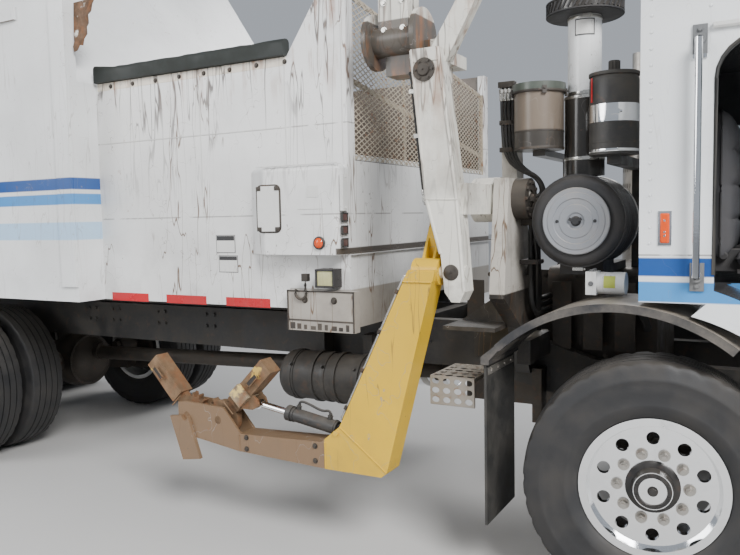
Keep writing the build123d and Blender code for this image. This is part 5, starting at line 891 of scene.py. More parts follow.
@piece(ORANGE, "body", smooth=True, replaces=("side_lamps",))
def marker_lens(bm):
    add_disc(bm, (-1.570, -1.118, 1.561), RIGHT,
             [(0, 0.0), (0, 0.026), (0.014, 0.026), (0.021, 0.020), (0.0245, 0.010), (0.0255, 0.0)])


@piece(BLACK_RUBBER, "body", bevel=0.0012)
def lamp_bezels(bm):
    add_lathe(bm, (-1.570, HOUSING, 1.561), RIGHT,
              [(0, 0.026), (0, 0.034), (0.009, 0.0335), (0.013, 0.030), (0.013, 0.026)], 40)
    for z in (1.561, 1.625, 1.690):
        low, high = z - 0.0235, z + 0.0235
        add_boxes(bm, (-1.4495, -1.108, low), (-1.4425, -1.052, high))
        for y0, y1, z0, z1 in ((-1.108, -1.052, z + 0.0175, high), (-1.108, -1.052, low, z - 0.0175),
                               (-1.108, -1.101, low, high), (-1.059, -1.052, low, high)):
            add_boxes(bm, (-1.4425, y0, z0), (-1.4375, y1, z1))


@piece(DARK_LENS, "body", bevel=0.0015)
def square_lenses(bm):
    for z in (1.561, 1.625, 1.690):
        add_boxes(bm, (-1.4425, -1.100, z - 0.0165), (-1.4390, -1.060, z + 0.0165))


@piece(BLACK_PLASTIC, "body", bevel=0.0015)
def work_lamp_case(bm):
    x0, x1, y0, y1, z0, z1, wall = -1.614, -1.501, -1.106, -1.024, 1.330, 1.426, 0.009
    add_boxes(bm, (x0, y1 - wall, z0), (x1, y1, z1), (x0, y0, z0), (x1, y1, z0 + wall),
              (x0, y0, z1 - wall), (x1, y1, z1), (x0, y0, z0), (x0 + wall, y1, z1), (x1 - wall, y0, z0), (x1, y1, z1))
    for x in steps(x0 + 0.014, x0 + 0.095, 6):
        add_boxes(bm, (x, y1 - 0.010, z0 + 0.010), (x + 0.004, y1 + 0.003, z1 - 0.010))
    add_bar(bm, (-1.5575, -1.040, 1.420), (-1.5575, -1.040, 1.4275), 0.012)
    for x in (-1.6145, -1.5005):
        add_bar(bm, (x - 0.002, -1.055, 1.378), (x + 0.002, -1.055, 1.378), 0.011)


@piece(WORK_LENS, "body")
def work_lamp_lens(bm):
    def ribbed(x, z):
        dome = 0.005 * cos((x + 1.5575) * 30) * cos((z - 1.378) * 36)
        return at(x, -1.098 - dome + 0.0010 * (round(x * 3000) % 2), z)

    add_grid(bm, ribbed, steps(-1.604, -1.511, 18), steps(1.341, 1.415, 12))


# Step between the arm and the front fender

STEP_X, STEP_Y = (-0.983, -0.757), (-1.078, -0.762)


@piece(STEP_STEEL, replaces=("side_step",))
def step_tread(bm):
    """Sheets with rows of oval holes, each in a cell of its own."""
    for foot, up, size, counts, radii in ((0.9215, LEFT, (0.226, 0.316), (4, 5), (0.020, 0.022)),
                                          (0.785, UP, (0.226, 0.136), (4, 3), (0.019, 0.014))):
        cell = [whole / count for whole, count in zip(size, counts)]
        for i, j in ((i, j) for i in range(counts[0]) for j in range(counts[1])):
            centre = at(STEP_X[0], STEP_Y[0], foot) + AHEAD * (cell[0] * (i + 0.5)) + up * (cell[1] * (j + 0.5))
            turns = around(20, 1.0, 0.5)
            hole = [bm.verts.new(centre + AHEAD * (radii[0] * c) + up * (radii[1] * s)) for c, s in turns]
            rim = [bm.verts.new(centre + (AHEAD * (cell[0] * c) + up * (cell[1] * s)) / 2 / max(abs(c), abs(s)))
                   for c, s in turns]
            for a, b, c, d in zip(hole, rim, rim[1:] + rim[:1], hole[1:] + hole[:1]):
                bm.faces.new((a, b, c, d))


sheet = step_tread.modifiers.new("sheet", "SOLIDIFY")
sheet.thickness = 0.003
sheet.offset = 0.0


@piece(STEP_STEEL, bevel=0.001)
def step_rails(bm):
    (x0, x1), (y0, y1) = STEP_X, STEP_Y
    add_boxes(bm, (x0, y0, 0.782), (x1, y0 + 0.004, 0.789), (x0, y1 - 0.008, 0.905), (x1, y1, 0.9225))
    for x in (x0, x1 - 0.005):
        add_boxes(bm, (x, y0, 0.905), (x + 0.005, y1, 0.9225), (x, y0, 0.785), (x + 0.005, y0 + 0.010, 0.92))
    add_boxes(bm, (-0.838, -0.778, 0.862), (-0.792, -0.432, 0.903))
    add_beads(bm, 0.004, ((-0.838, -0.7785, 0.903), (-0.792, -0.7785, 0.903)))
    add_hexes(bm, AHEAD, 0.010, 0.008, *((-0.792, y, 0.883) for y in (-0.46, -0.50)))


# Mast

for k in range(4):
    x, swing = -0.722 + 0.019 * k, -0.688 + 0.026 * k
    hose(f"mast_hose_{k + 1}", [(x, -0.7715, 2.262), (x, -0.7715, 2.102), (-0.706 + 0.016 * k, -0.7715, 1.965),
                                (-0.640 + 0.012 * k, -0.772, 1.900), (-0.556 + 0.004 * k, -0.735, 1.860),
                                (-0.549, -0.675 + 0.02 * k, 1.790), (-0.585, swing, 1.770), (-0.615, swing, 1.745)],
         0.0078)


@piece(FITTING, smooth=True)
def mast_hose_ends(bm):
    for k in range(4):
        add_crimp(bm, (-0.722 + 0.019 * k, -0.7715, 2.236), UP, 0.0078)
        add_crimp(bm, (-0.615, -0.688 + 0.026 * k, 1.765), -UP, 0.0070)
        y = -0.692 + 0.030 * k
        add_bar(bm, (-0.580, y, 1.664), (-0.548, y, 1.664), 0.0115)
        add_hexes(bm, AHEAD, 0.0098, 0.010, (-0.549, y, 1.664))
        add_hexes(bm, UP, 0.0085, 0.010, (-0.640, y, 1.700))
    add_hexes(bm, AHEAD, 0.0065, 0.006, *((-0.580, -0.676 + 0.040 * k, 1.642) for k in range(3)))


@piece(IRON, bevel=0.0015)
def mast_manifold(bm):
    add_boxes(bm, (-0.734, -0.792, 2.298), (-0.652, -0.756, 2.326), (-0.655, -0.640, 1.70), (-0.600, -0.612, 1.742))
    for z in (2.12, 1.99):
        add_boxes(bm, (-0.732, -0.782, z), (-0.665, -0.758, z + 0.022))


@piece(IRON)
def mast_bolts(bm):
    add_hexes(bm, RIGHT, 0.0048, 0.005, *((x, -0.782, z) for z in (2.131, 2.001) for x in (-0.7235, -0.6725)))
    add_hexes(bm, AHEAD, 0.0085, 0.009, *((-0.580, -0.760 + c, 1.760 + s) for c, s in around(10, 0.082)))
    add_hexes(bm, AHEAD, 0.022, 0.016, (-0.580, -0.760, 1.760))


@piece(HOSE_RUBBER, smooth=True)
def valve_lines(bm):
    for k in range(5):
        y, swing = -0.700 + 0.024 * k, 0.012 * sin(2.1 * k)
        add_tube(bm, [(-0.586, y, 1.632), (-0.580 + swing, y + 0.004, 1.585), (-0.600 + swing, y + 0.012, 1.520),
                      (-0.612, y + 0.024, 1.450), (-0.640, y + 0.020, 1.380)], 0.0042, 8)


for k in range(4):
    y = -0.716 + 0.022 * k
    hose(f"valve_hose_{k + 1}", [(-0.580, y, 1.640), (-0.574, y, 1.560), (-0.566 - 0.008 * (k % 2), y + 0.008, 1.450),
                                 (-0.574, y + 0.030, 1.320), (-0.600, y + 0.100, 1.200), (-0.622, y + 0.170, 1.130)],
         0.0068)


@piece(STAINED_AND_SHADE, bevel=0.002)
def hose_clamp(bm):
    add_boxes(bm, (-0.652, -0.728, 1.440), (-0.556, -0.634, 1.462))
    add_hexes(bm, AHEAD, 0.006, 0.007, (-0.560, -0.723, 1.451), (-0.560, -0.639, 1.451))


# Lifting arm

@piece(ARM_WHITE, "lift_arm", smooth=True)
def blade_edges(bm):
    for x0, z0, x1, z1 in ((-0.983, 2.425, -0.917, 1.762), (-0.917, 1.758, -0.851, 1.517),
                           (-0.853, 2.425, -0.772, 1.757), (-0.771, 1.753, -0.741, 1.350)):
        add_bar(bm, (x0, -1.2365, z0), (x1, -1.2365, z1), 0.0085, segments=12)


@piece(IRON, "lift_arm", smooth=True)
def arm_pin_caps(bm):
    add_cap(bm, (-0.800, -1.2395, 1.433), RIGHT, 0.036)
    add_cap(bm, (-0.918, -1.2395, 2.335), RIGHT, 0.030, 0.016)
    add_ring(bm, (-0.918, -1.2425, 2.335), RIGHT, 0.030, 0.052, 0.010)
    add_hexes(bm, RIGHT, 0.0062, 0.007, *((-0.918 + c, -1.2470, 2.335 + s) for c, s in around(6, 0.041)))
    add_cap(bm, (-1.2995, -1.0, 2.54), -AHEAD, 0.060)
    add_hexes(bm, -AHEAD, 0.0105, 0.010, *((-1.2995, -1.0 + c, 2.54 + s) for c, s in around(8, 0.108, 0.5)))


@piece(ARM_WHITE, "lift_arm", smooth=True)
def blade_beads(bm):
    add_beads(bm, 0.004, ((-0.982, -1.2405, 2.372), (-0.848, -1.2405, 2.372)),
              ((-0.918, -1.2405, 1.762), (-0.774, -1.2405, 1.757)))


BLADE_HOSES = ((0.0095, 0.0), (0.0095, 0.024), (0.0075, 0.046))
for k, (radius, shift) in enumerate(BLADE_HOSES):
    y = -1.162 - shift
    hose(f"blade_hose_{k + 1}", [(-1.030 + 0.010 * k, -1.03 - shift, 2.372), (-1.040, -1.10 - shift, 2.345),
                                 (-0.9955, y, 2.330), (-0.9865, y, 2.20), (-0.9555, y, 1.90), (-0.944, y, 1.80)],
         radius, "lift_arm")


@piece(FITTING, "lift_arm", smooth=True)
def blade_hose_ends(bm):
    for radius, shift in BLADE_HOSES:
        add_crimp(bm, (-0.944, -1.162 - shift, 1.806), Vector((0.11, 0, -1)), radius)
    for z, x in ((2.24, -0.9905), (2.04, -0.9700)):
        add_boxes(bm, (x - 0.013, -1.222, z), (x + 0.028, -1.142, z + 0.018))


@piece(FITTING, "lift_arm", smooth=True)
def head_fittings(bm):
    for x, z in ((-1.185, 2.49), (-1.130, 2.49), (-1.075, 2.44)):
        add_hexes(bm, RIGHT, 0.013, 0.014, (x, -1.011, z))
        add_bar(bm, (x, -1.025, z), (x, -1.045, z), 0.0085, segments=12)
    add_crimp(bm, (-1.020, -1.0105, 2.410), Vector((0, -1, -0.4)), 0.0090)
    add_hexes(bm, RIGHT, 0.012, 0.010, *((x, -1.0605, z) for x in (-1.21, -1.11) for z in (2.58, 2.71)))


# Boom, fingers and cylinders

BOOM_FACE = -1.2852
PIPE_TOP, PIPE_FOOT = at(-1.030, -1.263, 1.395), at(-1.372, -1.263, 0.712)
PIPE_WAY = (PIPE_FOOT - PIPE_TOP).normalized()


@piece(YELLOW, "boom", bevel=0.002)
def boom_collar(bm):
    add_prism(bm, [(-1.020, 1.392), (-0.872, 1.392), (-0.8605, 1.441), (-0.993, 1.441)], (0, -1.2885, 0), AHEAD, UP,
              LEFT * 0.136)


@piece(YELLOW, "boom", smooth=True)
def boom_beads(bm):
    add_beads(bm, 0.0045, ((-1.018, -1.2890, 1.391), (-0.874, -1.2890, 1.391)))
    add_beads(bm, 0.005, *(((x0, BOOM_FACE, z0), (x1, BOOM_FACE, z1)) for x0, z0, x1, z1 in
                           ((-1.376, 0.674, -1.122, 0.482), (-1.462, 0.455, -1.462, 0.588),
                            (-1.998, 0.470, -1.998, 0.560))))


@piece(FITTING, "boom", smooth=True)
def boom_pipe(bm):
    add_tube(bm, [PIPE_TOP + Vector((0.012, 0, 0.02)), PIPE_TOP, PIPE_FOOT,
                  PIPE_FOOT + PIPE_WAY * 0.03 + Vector((0.02, 0, -0.01))], 0.0075)


@piece(IRON, "boom", bevel=0.001)
def boom_clamps(bm):
    for share in (0.08, 0.36, 0.64, 0.92):
        place = PIPE_TOP.lerp(PIPE_FOOT, share)
        add_block(bm, place + AHEAD * 0.004, PIPE_WAY, RIGHT, (0.022, 0.026, 0.024))
        add_hexes(bm, RIGHT, 0.005, 0.005, place + RIGHT * 0.012)
    add_hexes(bm, RIGHT, 0.011, 0.009, *((x, BOOM_FACE, z) for x, z in
                                         ((-1.52, 0.485), (-1.52, 0.560), (-1.95, 0.487), (-1.95, 0.548))))


for body, x, turn, slot_at in (("finger_front", -2.140, radians(45.0), 0.335),
                               ("finger_rear", -2.360, radians(133.0), 0.300)):
    along = Vector((cos(turn), 0, sin(turn)))
    across = along.cross(LEFT)
    root = at(x, -1.220, 0.620)

    @piece(GRIPPER_RUST, body, name=f"{body}_frames")
    def frames(bm):
        for face in (root - LEFT * 0.0652, root + LEFT * 0.0652):
            for shift in (-0.013, 0.013):
                add_block(bm, face + along * slot_at + across * shift, along, LEFT, (0.086, 0.005, 0.004))
            for shift in (-0.0405, 0.0405):
                add_block(bm, face + along * (slot_at + shift), along, LEFT, (0.005, 0.030, 0.004))
            add_beads(bm, 0.004, (face + along * 0.105 + across * 0.043, face + along * 0.105 - across * 0.043))

    # Dark plates inside the slot frames: painted shade standing in for the open slots.
    @piece(STAINED_AND_SHADE, body, name=f"{body}_slots")
    def slot_shade(bm):
        for side in (-0.0651, 0.0651):
            add_block(bm, root + along * slot_at + LEFT * side, along, LEFT, (0.076, 0.021, 0.0016))

    if body == "finger_front":
        @piece(GEAR_RUST, body, bevel=0.003, name=f"{body}_sleeve")
        def sleeve(bm):
            add_block(bm, root + along * 0.205, along, LEFT, (0.085, 0.097, 0.137))


def add_gland(bm, base, along, out, rings, ports, radius):
    """Rings of a cylinder given by distance, inner and outer radius and width, and its two ports."""
    for distance, inner, outer, width in rings:
        add_ring(bm, base + along * distance, along, inner, outer, width)
    for port in ports:
        foot = base + along * port
        add_bar(bm, foot + out * 0.030, foot + out * 0.050, radius + 0.002)
        add_hexes(bm, out, radius, 0.012, foot + out * 0.049)


GRIP_BASE = at(-1.395, -1.220, 0.640)
GRIP_WAY = (at(-1.905, -1.220, 0.720) - GRIP_BASE).normalized()
GRIP_UP = LEFT.cross(GRIP_WAY).normalized()


@piece(FRAME_BLACK, "grip_barrel", smooth=True)
def grip_gland(bm):
    add_gland(bm, GRIP_BASE, GRIP_WAY, GRIP_UP, ((0.318, 0.012, 0.0405, 0.030), (0.290, 0.030, 0.0385, 0.008),
                                                 (0.045, 0.030, 0.0385, 0.010)), (0.080, 0.270), 0.011)


hose("grip_hose", [GRIP_BASE + GRIP_WAY * along + GRIP_UP * up for along, up in
                   ((0.270, 0.060), (0.270, 0.078), (0.225, 0.080), (0.130, 0.060), (0.088, 0.078), (0.080, 0.060))],
     0.0065, "grip_barrel")


@piece(FRAME_BLACK, "reach_barrel", smooth=True)
def reach_gland(bm):
    add_gland(bm, at(-0.925, -1.060, 2.330), Vector((0, -0.037851, -0.999283)), -AHEAD,
              ((0.424, 0.021, 0.0415, 0.030), (0.395, 0.030, 0.0390, 0.008), (0.060, 0.030, 0.0390, 0.012)),
              (0.090, 0.375), 0.0105)


# Cab

def on_screen(y, z, out):
    """Place in front of the cab's sloped front."""
    return at(1.670 - (z - 1.500) * 0.1078 + out, y, z)


def add_rim(bm, corners, radius, segments, rings, ball=None):
    """Rubber bead round a window, from corner to corner."""
    corners = [spot(corner) for corner in corners]
    for start, end in zip(corners, corners[1:] + corners[:1]):
        add_bar(bm, start, end, radius, segments=segments)
        bmesh.ops.create_uvsphere(bm, u_segments=segments, v_segments=rings, radius=ball or radius,
                                  matrix=Matrix.Translation(start))


# Y of a side and the direction away from it
OUTWARD = ((-1, RIGHT), (1, LEFT))


@piece(PALE_PLATE, bevel=0.001)
def drip_rails(bm):
    for way, out in OUTWARD:
        add_prism(bm, [(0, 2.366), (0.012, 2.362), (0.018, 2.370), (0.018, 2.384), (0.012, 2.386), (0, 2.386)],
                  (0.250, way * 1.1905, 0), out, UP, AHEAD * 0.890)


@piece(ORANGE, bevel=0.005, smooth=True)
def cab_marker_lamps(bm):
    for way, out in OUTWARD:
        add_block(bm, (0.087, way * 1.1975, 1.620), UP, out, (0.117, 0.034, 0.014))


@piece(CHROME, bevel=0.001)
def cab_bright_trim(bm):
    for way, out in OUTWARD:
        add_block(bm, (0.087, way * 1.1925, 1.620), UP, out, (0.135, 0.050, 0.005))
    add_hexes(bm, RIGHT, 0.0035, 0.003, *((0.087, -1.2045, z) for z in (1.590, 1.605, 1.650)))


@piece(CAB_WHITE, smooth=True)
def cab_rivets(bm):
    for way, out in OUTWARD:
        for x, z in [(0.030, 1.56 + 0.063 * k) for k in range(16)] + [(0.240 + 0.11 * k, 2.450) for k in range(9)]:
            add_disc(bm, (x, way * 1.190, z), out,
                     [(0, 0.0), (0, 0.0065), (0.0018, 0.0058), (0.0030, 0.0030), (0.0032, 0.0)], 12)


@piece(GREY_PLASTIC, bevel=0.001)
def handle_brackets(bm):
    for way, out in OUTWARD:
        for z in (1.430, 2.330):
            add_block(bm, (0.205, way * 1.1945, z), UP, out, (0.110, 0.052, 0.008))
            add_hexes(bm, out, 0.0085, 0.008, *((0.205, way * 1.1985, z + shift) for shift in (-0.036, 0.036)))
            add_ring(bm, (0.205, way * 1.203, z), out, 0.0125, 0.021, 0.010)


@piece(BLACK_RUBBER, smooth=True)
def doorway_seal(bm):
    corner = [(0.415 + 0.153 * cos(radians(turn)), 2.180 + 0.153 * sin(radians(turn))) for turn in range(105, 181, 15)]
    add_tube(bm, [(x, -1.188, z) for x, z in ((1.133, 0.575), (1.133, 2.313), (1.110, 2.333), (0.415, 2.333), *corner,
                                              (0.262, 1.44))], 0.0075, 8)


@piece(BLACK_RUBBER, smooth=True)
def windscreen_rubber(bm):
    add_rim(bm, [on_screen(y, z, 0.002) for y, z in ((-1.060, 1.520), (1.060, 1.520), (1.060, 2.430), (-1.060, 2.430))],
            0.013, 12, 8, 0.0131)
    add_bar(bm, on_screen(0, 1.52, -0.012), on_screen(0, 2.43, -0.012), 0.012, segments=12)


@piece(BLACK_PLASTIC, smooth=True)
def wipers(bm):
    for y in (0.75, -0.15):
        pivot, tip = on_screen(y, 1.475, 0.012), on_screen(y - 0.3025, 1.640, 0.016)
        blade, far = on_screen(y - 0.55, 1.570, 0.007), on_screen(y - 0.055, 1.710, 0.007)
        add_bar(bm, pivot - AHEAD * 0.012, pivot + AHEAD * 0.020, 0.017)
        add_tube(bm, [pivot + AHEAD * 0.012, pivot.lerp(tip, 0.5) + AHEAD * 0.020, tip + AHEAD * 0.006], 0.006, 8)
        add_bar(bm, blade, far, 0.0055, segments=8)
        for share in (0.12, 0.38, 0.62, 0.88):
            add_block(bm, blade.lerp(far, share) + AHEAD * 0.006, far - blade, AHEAD, (0.030, 0.012, 0.008))


@piece(GREY_PLASTIC, bevel=0.001)
def grille_bars(bm):
    for k in range(8):
        add_block(bm, (1.7035, 0, 1.130 - 0.034 * k), LEFT, UP, (1.30, 0.009, 0.016))
    for y in (-0.66, 0.66):
        add_block(bm, (1.7035, y, 1.01), UP, AHEAD, (0.272, 0.018, 0.009))


@piece(BLACK_PLASTIC)
def grille_screen(bm):
    add_block(bm, (1.7005, 0, 1.01), UP, AHEAD, (0.262, 1.31, 0.003))


@piece(CHROME, bevel=0.0015)
def headlamp_bezels(bm):
    rear = 1.7005
    for way, _ in OUTWARD:
        for y0, y1, out in ((0.752, 1.064, 0.044), (1.066, 1.174, 0.040)):
            for z in (0.896, 1.064):
                add_boxes(bm, (rear, way * y0, z - 0.006), (rear + out, way * y1, z + 0.006))
            for y in (y0, y1):
                add_boxes(bm, (rear, way * (y - 0.005), 0.891), (rear + out, way * (y + 0.005), 1.069))
        add_boxes(bm, (rear, way * 0.904, 0.891), (1.7425, way * 0.914, 1.069))


@piece(CLEAR, smooth=True)
def headlamp_rings(bm):
    for y in (-0.830, -0.985, 0.830, 0.985):
        add_disc(bm, (1.7405, y, 0.980), AHEAD, [(0, 0.070), (0.0015, 0.070), (0.0015, 0.064), (0.0005, 0.062),
                                                 (0.0005, 0.030), (0.0018, 0.028), (0.0018, 0.0), (0, 0.0)])


@piece(STEEL, smooth=True)
def bumper_fittings(bm):
    for y, z in ((y, z) for y in (-0.40, -0.50, 0.40, 0.50) for z in (0.575, 0.685)):
        add_disc(bm, (1.7795, y, z), AHEAD, [(0, 0.0), (0, 0.021), (0.004, 0.019), (0.009, 0.010), (0.0095, 0.0)], 24)


@piece(MIRROR, bevel=0.001)
def mirror_faces(bm):
    for y in (-1.390, 1.390):
        for z, height in ((1.985, 0.300), (1.730, 0.130)):
            add_block(bm, (1.4385, y, z), UP, -AHEAD, (height, 0.104, 0.003))


@piece(BLACK_PLASTIC, bevel=0.0006)
def mirror_trim(bm):
    for way, out in OUTWARD:
        inner, outer = way * 1.334, way * 1.446
        for y in (inner, outer):
            add_bar(bm, (1.4385, y, 1.655), (1.4385, y, 2.145), 0.004, segments=8)
        for z in (1.655, 1.815, 2.145):
            add_bar(bm, (1.4385, inner, z), (1.4385, outer, z), 0.004, segments=8)
        for z in (1.60, 2.20):
            add_block(bm, (1.470, way * 1.1965, z), UP, out, (0.070, 0.056, 0.010))
            add_hexes(bm, out, 0.006, 0.005, *((1.470, way * 1.2015, z + shift) for shift in (-0.022, 0.022)))


@piece(BLACK_PLASTIC, "door_left", bevel=0.003)
def left_door_handle(bm):
    add_block(bm, (0.385, 1.194, 1.395), AHEAD, LEFT, (0.150, 0.034, 0.014))
    add_block(bm, (0.430, 1.205, 1.395), AHEAD, LEFT, (0.024, 0.028, 0.014))


@piece(BLACK_RUBBER, "door_left", smooth=True)
def left_door_rubber(bm):
    add_rim(bm, [(x, 1.1885, z) for x, z in ((0.345, 1.500), (1.055, 1.500), (1.055, 2.250), (0.345, 2.250))],
            0.008, 10, 6)


@piece(STEEL, "door_left")
def left_hinge_bolts(bm):
    add_hexes(bm, LEFT, 0.0075, 0.006, *((1.085, 1.2045, z) for z in (1.030, 1.120, 1.990, 2.080)))


# Behind the cab

INTAKE, CLEANER, OIL, TAN_CAN, EXHAUST = (
    at(-0.340, -0.700, 0), at(-0.328, 0, 1.650), at(-0.170, -0.880, 0), at(-0.530, -0.800, 0), at(-0.330, 0.820, 0))


def flat(turn):
    """Level direction at an angle from ahead."""
    return Vector((cos(turn), sin(turn), 0))


def add_rings(bm, centre, direction, *rings):
    """Rings about one axis, each its place along it, inner and outer radius and width."""
    for along, inner, outer, width in rings:
        add_ring(bm, centre + direction * along, direction, inner, outer, width)


def add_sheet(bm, centre, radius, turns, heights, cells):
    """Thin label round an upright cylinder, between two angles and two heights."""
    add_grid(bm, lambda turn, z: centre + flat(turn) * radius + UP * z, steps(*turns, cells), steps(*heights, 2))


@piece(BLACK_PLASTIC, smooth=True)
def precleaner_louvres(bm):
    for c, s in around(40):
        add_block(bm, INTAKE + Vector((c * 0.1735, s * 0.1735, 2.630)), Vector((-s * 0.6, c * 0.6, 1)),
                  Vector((c, s, 0)), (0.046, 0.008, 0.006))
    add_rings(bm, INTAKE, UP, (2.603, 0.166, 0.1775, 0.007), (2.657, 0.166, 0.1775, 0.007),
              (2.700, 0.136, 0.1425, 0.010), (2.5975, 0.0785, 0.1715, 0.004))


@piece(FITTING, smooth=True)
def intake_clamps(bm):
    for z, radius in ((2.242, 0.0785), (2.585, 0.0785), (2.222, 0.0935), (1.940, 0.0935)):
        add_rings(bm, INTAKE, UP, (z, radius - 0.004, radius, 0.014))
        add_block(bm, INTAKE + Vector((0.030, -radius - 0.004, z)), AHEAD, RIGHT, (0.036, 0.016, 0.010))
        add_hexes(bm, AHEAD, 0.0050, 0.006, INTAKE + Vector((0.049, -radius - 0.006, z)))


@piece(BLACK_PLASTIC, smooth=True)
def stack_label_edge(bm):
    add_sheet(bm, INTAKE, 0.0790, (-1.92, -0.76), (2.500, 2.574), 12)


@piece(PALE_PLATE, smooth=True)
def stack_label(bm):
    add_sheet(bm, INTAKE, 0.0795, (-1.86, -0.82), (2.505, 2.569), 12)


@piece(COVER_GREY, smooth=True)
def cleaner_cover(bm):
    add_disc(bm, CLEANER + RIGHT * 0.9105, RIGHT, [
        (0.0, 0.0), (0.0, 0.150), (0.004, 0.152), (0.008, 0.148), (0.006, 0.132), (0.009, 0.128), (0.009, 0.104),
        (0.005, 0.100), (0.005, 0.078), (0.008, 0.074), (0.008, 0.040), (0.003, 0.034), (0.003, 0.0)], 72)


@piece(BLACK_PLASTIC, smooth=True)
def cleaner_knob_and_strap(bm):
    front = CLEANER + RIGHT * 0.9125
    add_bar(bm, front, front + RIGHT * 0.018, 0.024, 0.015)
    for way in (-1, 1):
        add_hexes(bm, RIGHT, 0.0055, 0.005, CLEANER + Vector((0.085 * way, -0.9165, 0.0)))
        add_block(bm, front + Vector((0.017 * way, -0.014, 0.006)), Vector((way, 0, 0.45)), RIGHT,
                  (0.026, 0.014, 0.005))
    add_rings(bm, CLEANER, RIGHT, (0.868, 0.207, 0.2135, 0.018))


@piece(FITTING, smooth=True)
def cleaner_strap(bm):
    add_rings(bm, CLEANER, RIGHT, (0.560, 0.207, 0.2135, 0.022))
    add_block(bm, CLEANER + Vector((0.0, -0.868, -0.219)), AHEAD, UP, (0.048, 0.020, 0.014))
    add_hexes(bm, AHEAD, 0.0065, 0.008, CLEANER + Vector((0.026, -0.868, -0.219)))


@piece(BLACK_PLASTIC, smooth=True)
def cleaner_ridges(bm):
    add_rings(bm, CLEANER, RIGHT, *((along, 0.206, 0.2122, 0.007) for along in steps(0.615, 0.823, 4)))


@piece(ALLOY, smooth=True)
def oil_canister_bands(bm):
    add_rings(bm, OIL, UP, (2.115, 0.102, 0.1072, 0.076), (1.955, 0.102, 0.1070, 0.012))
    add_block(bm, OIL + Vector((0.028, -0.1105, 2.115)), AHEAD, RIGHT, (0.034, 0.020, 0.010))
    add_hexes(bm, AHEAD, 0.0055, 0.010, OIL + Vector((0.046, -0.1120, 2.115)))


@piece(RED_TAPE, smooth=True)
def oil_canister_strip(bm):
    add_sheet(bm, OIL, 0.1067, (-2.52, -2.38), (2.165, 2.270), 4)


@piece(FRAME_BLACK, smooth=True)
def oil_canister_rims(bm):
    add_rings(bm, OIL, UP, (2.285, 0.098, 0.1080, 0.014), (1.990, 0.102, 0.1065, 0.006))
    for c, s in around(10, 0.021):
        add_bar(bm, OIL + Vector((c, s, 2.306)), OIL + Vector((c, s, 2.345)), 0.0048, segments=8)


@piece(STAINED_AND_SHADE, smooth=True)
def fluid_canister_rims(bm):
    add_rings(bm, TAN_CAN, UP, (2.252, 0.112, 0.1265, 0.010), (2.070, 0.112, 0.1165, 0.008),
              (1.992, 0.112, 0.1165, 0.012))
    for out in map(flat, (3.6, 5.2, 0.4, 2.0)):
        add_block(bm, TAN_CAN + out * 0.1255 + UP * 2.252, UP, out, (0.034, 0.020, 0.010))
        add_hexes(bm, out, 0.0055, 0.006, TAN_CAN + out * 0.130 + UP * 2.258)
    add_bar(bm, TAN_CAN + UP * 2.289, TAN_CAN + UP * 2.302, 0.016, 0.013)


@piece(GREY_PLASTIC, smooth=True)
def filter_fittings(bm):
    add_hexes(bm, UP, 0.010, 0.010, (-0.253, -0.93, 1.4245), (-0.253, -0.87, 1.4245))
    add_crimp(bm, (-0.253, -0.955, 1.372), LEFT, 0.008)


@piece(FILTER_LABEL, smooth=True)
def filter_label(bm):
    add_grid(bm, lambda x, turn: at(x, -0.900 - 0.0513 * cos(turn), 1.372 + 0.0513 * sin(turn)),
             steps(-0.198, -0.148, 2), steps(-0.35, 0.75, 14))


@piece(STEEL, smooth=True)
def exhaust_shield(bm):
    for out in (flat(radians(-150 + 10.0 * k)) for k in range(30)):
        for z in steps(1.47, 2.22, 6):
            add_block(bm, EXHAUST + out * 0.1185 + UP * z, UP, out, (0.052, 0.011, 0.003))
    add_rings(bm, EXHAUST, UP, *((z, 0.112, 0.1185, 0.020) for z in (1.375, 1.83, 2.275)))


@piece(IRON, bevel=0.002)
def engine_covers(bm):
    for x in steps(-1.05, -0.25, 5):
        add_boxes(bm, (x, -0.4235, 0.98), (x + 0.10, -0.418, 1.33), (x, 0.418, 0.98), (x + 0.10, 0.4235, 1.33))
    for way, out in OUTWARD:
        add_hexes(bm, out, 0.010, 0.009, *((-1.07 + 0.155 * k, way * 0.4205, z) for k in range(7)
                                           for z in (0.955, 1.362)))


hose("coolant_hose", [(-0.33, -0.43, 1.30), (-0.33, -0.47, 1.30), (-0.22, -0.49, 1.28), (-0.10, -0.47, 1.20),
                      (-0.09, -0.43, 1.10)], 0.020)

# Chassis

FUEL_TANK, AIR_TANK = at(0, 0.770, 0.720), at(0, -0.640, 0.758)


@piece(FRAME_BLACK)
def frame_bolts(bm):
    for way, out in OUTWARD:
        add_hexes(bm, out, 0.012, 0.011, *(
            (x + shift, way * 0.4305, z) for x in (-1.35, -2.95, -3.40, -3.85, -4.10, -5.40, -6.90, -7.10)
            for z in (0.97, 1.05) for shift in (0.0, 0.07)))
        add_hexes(bm, out, 0.009, 0.008, *((-7.10 + 0.42 * k, way * 0.4255, 1.150) for k in range(14)))


@piece(STEEL, smooth=True)
def tank_straps(bm):
    for x in (-2.62, -2.20, -1.78):
        add_rings(bm, FUEL_TANK, AHEAD, (x, 0.2995, 0.3045, 0.055))
        add_block(bm, FUEL_TANK + Vector((x, 0.311, 0.02)), UP, LEFT, (0.090, 0.030, 0.016))
        add_hexes(bm, UP, 0.009, 0.012, FUEL_TANK + Vector((x, 0.311, 0.066)))


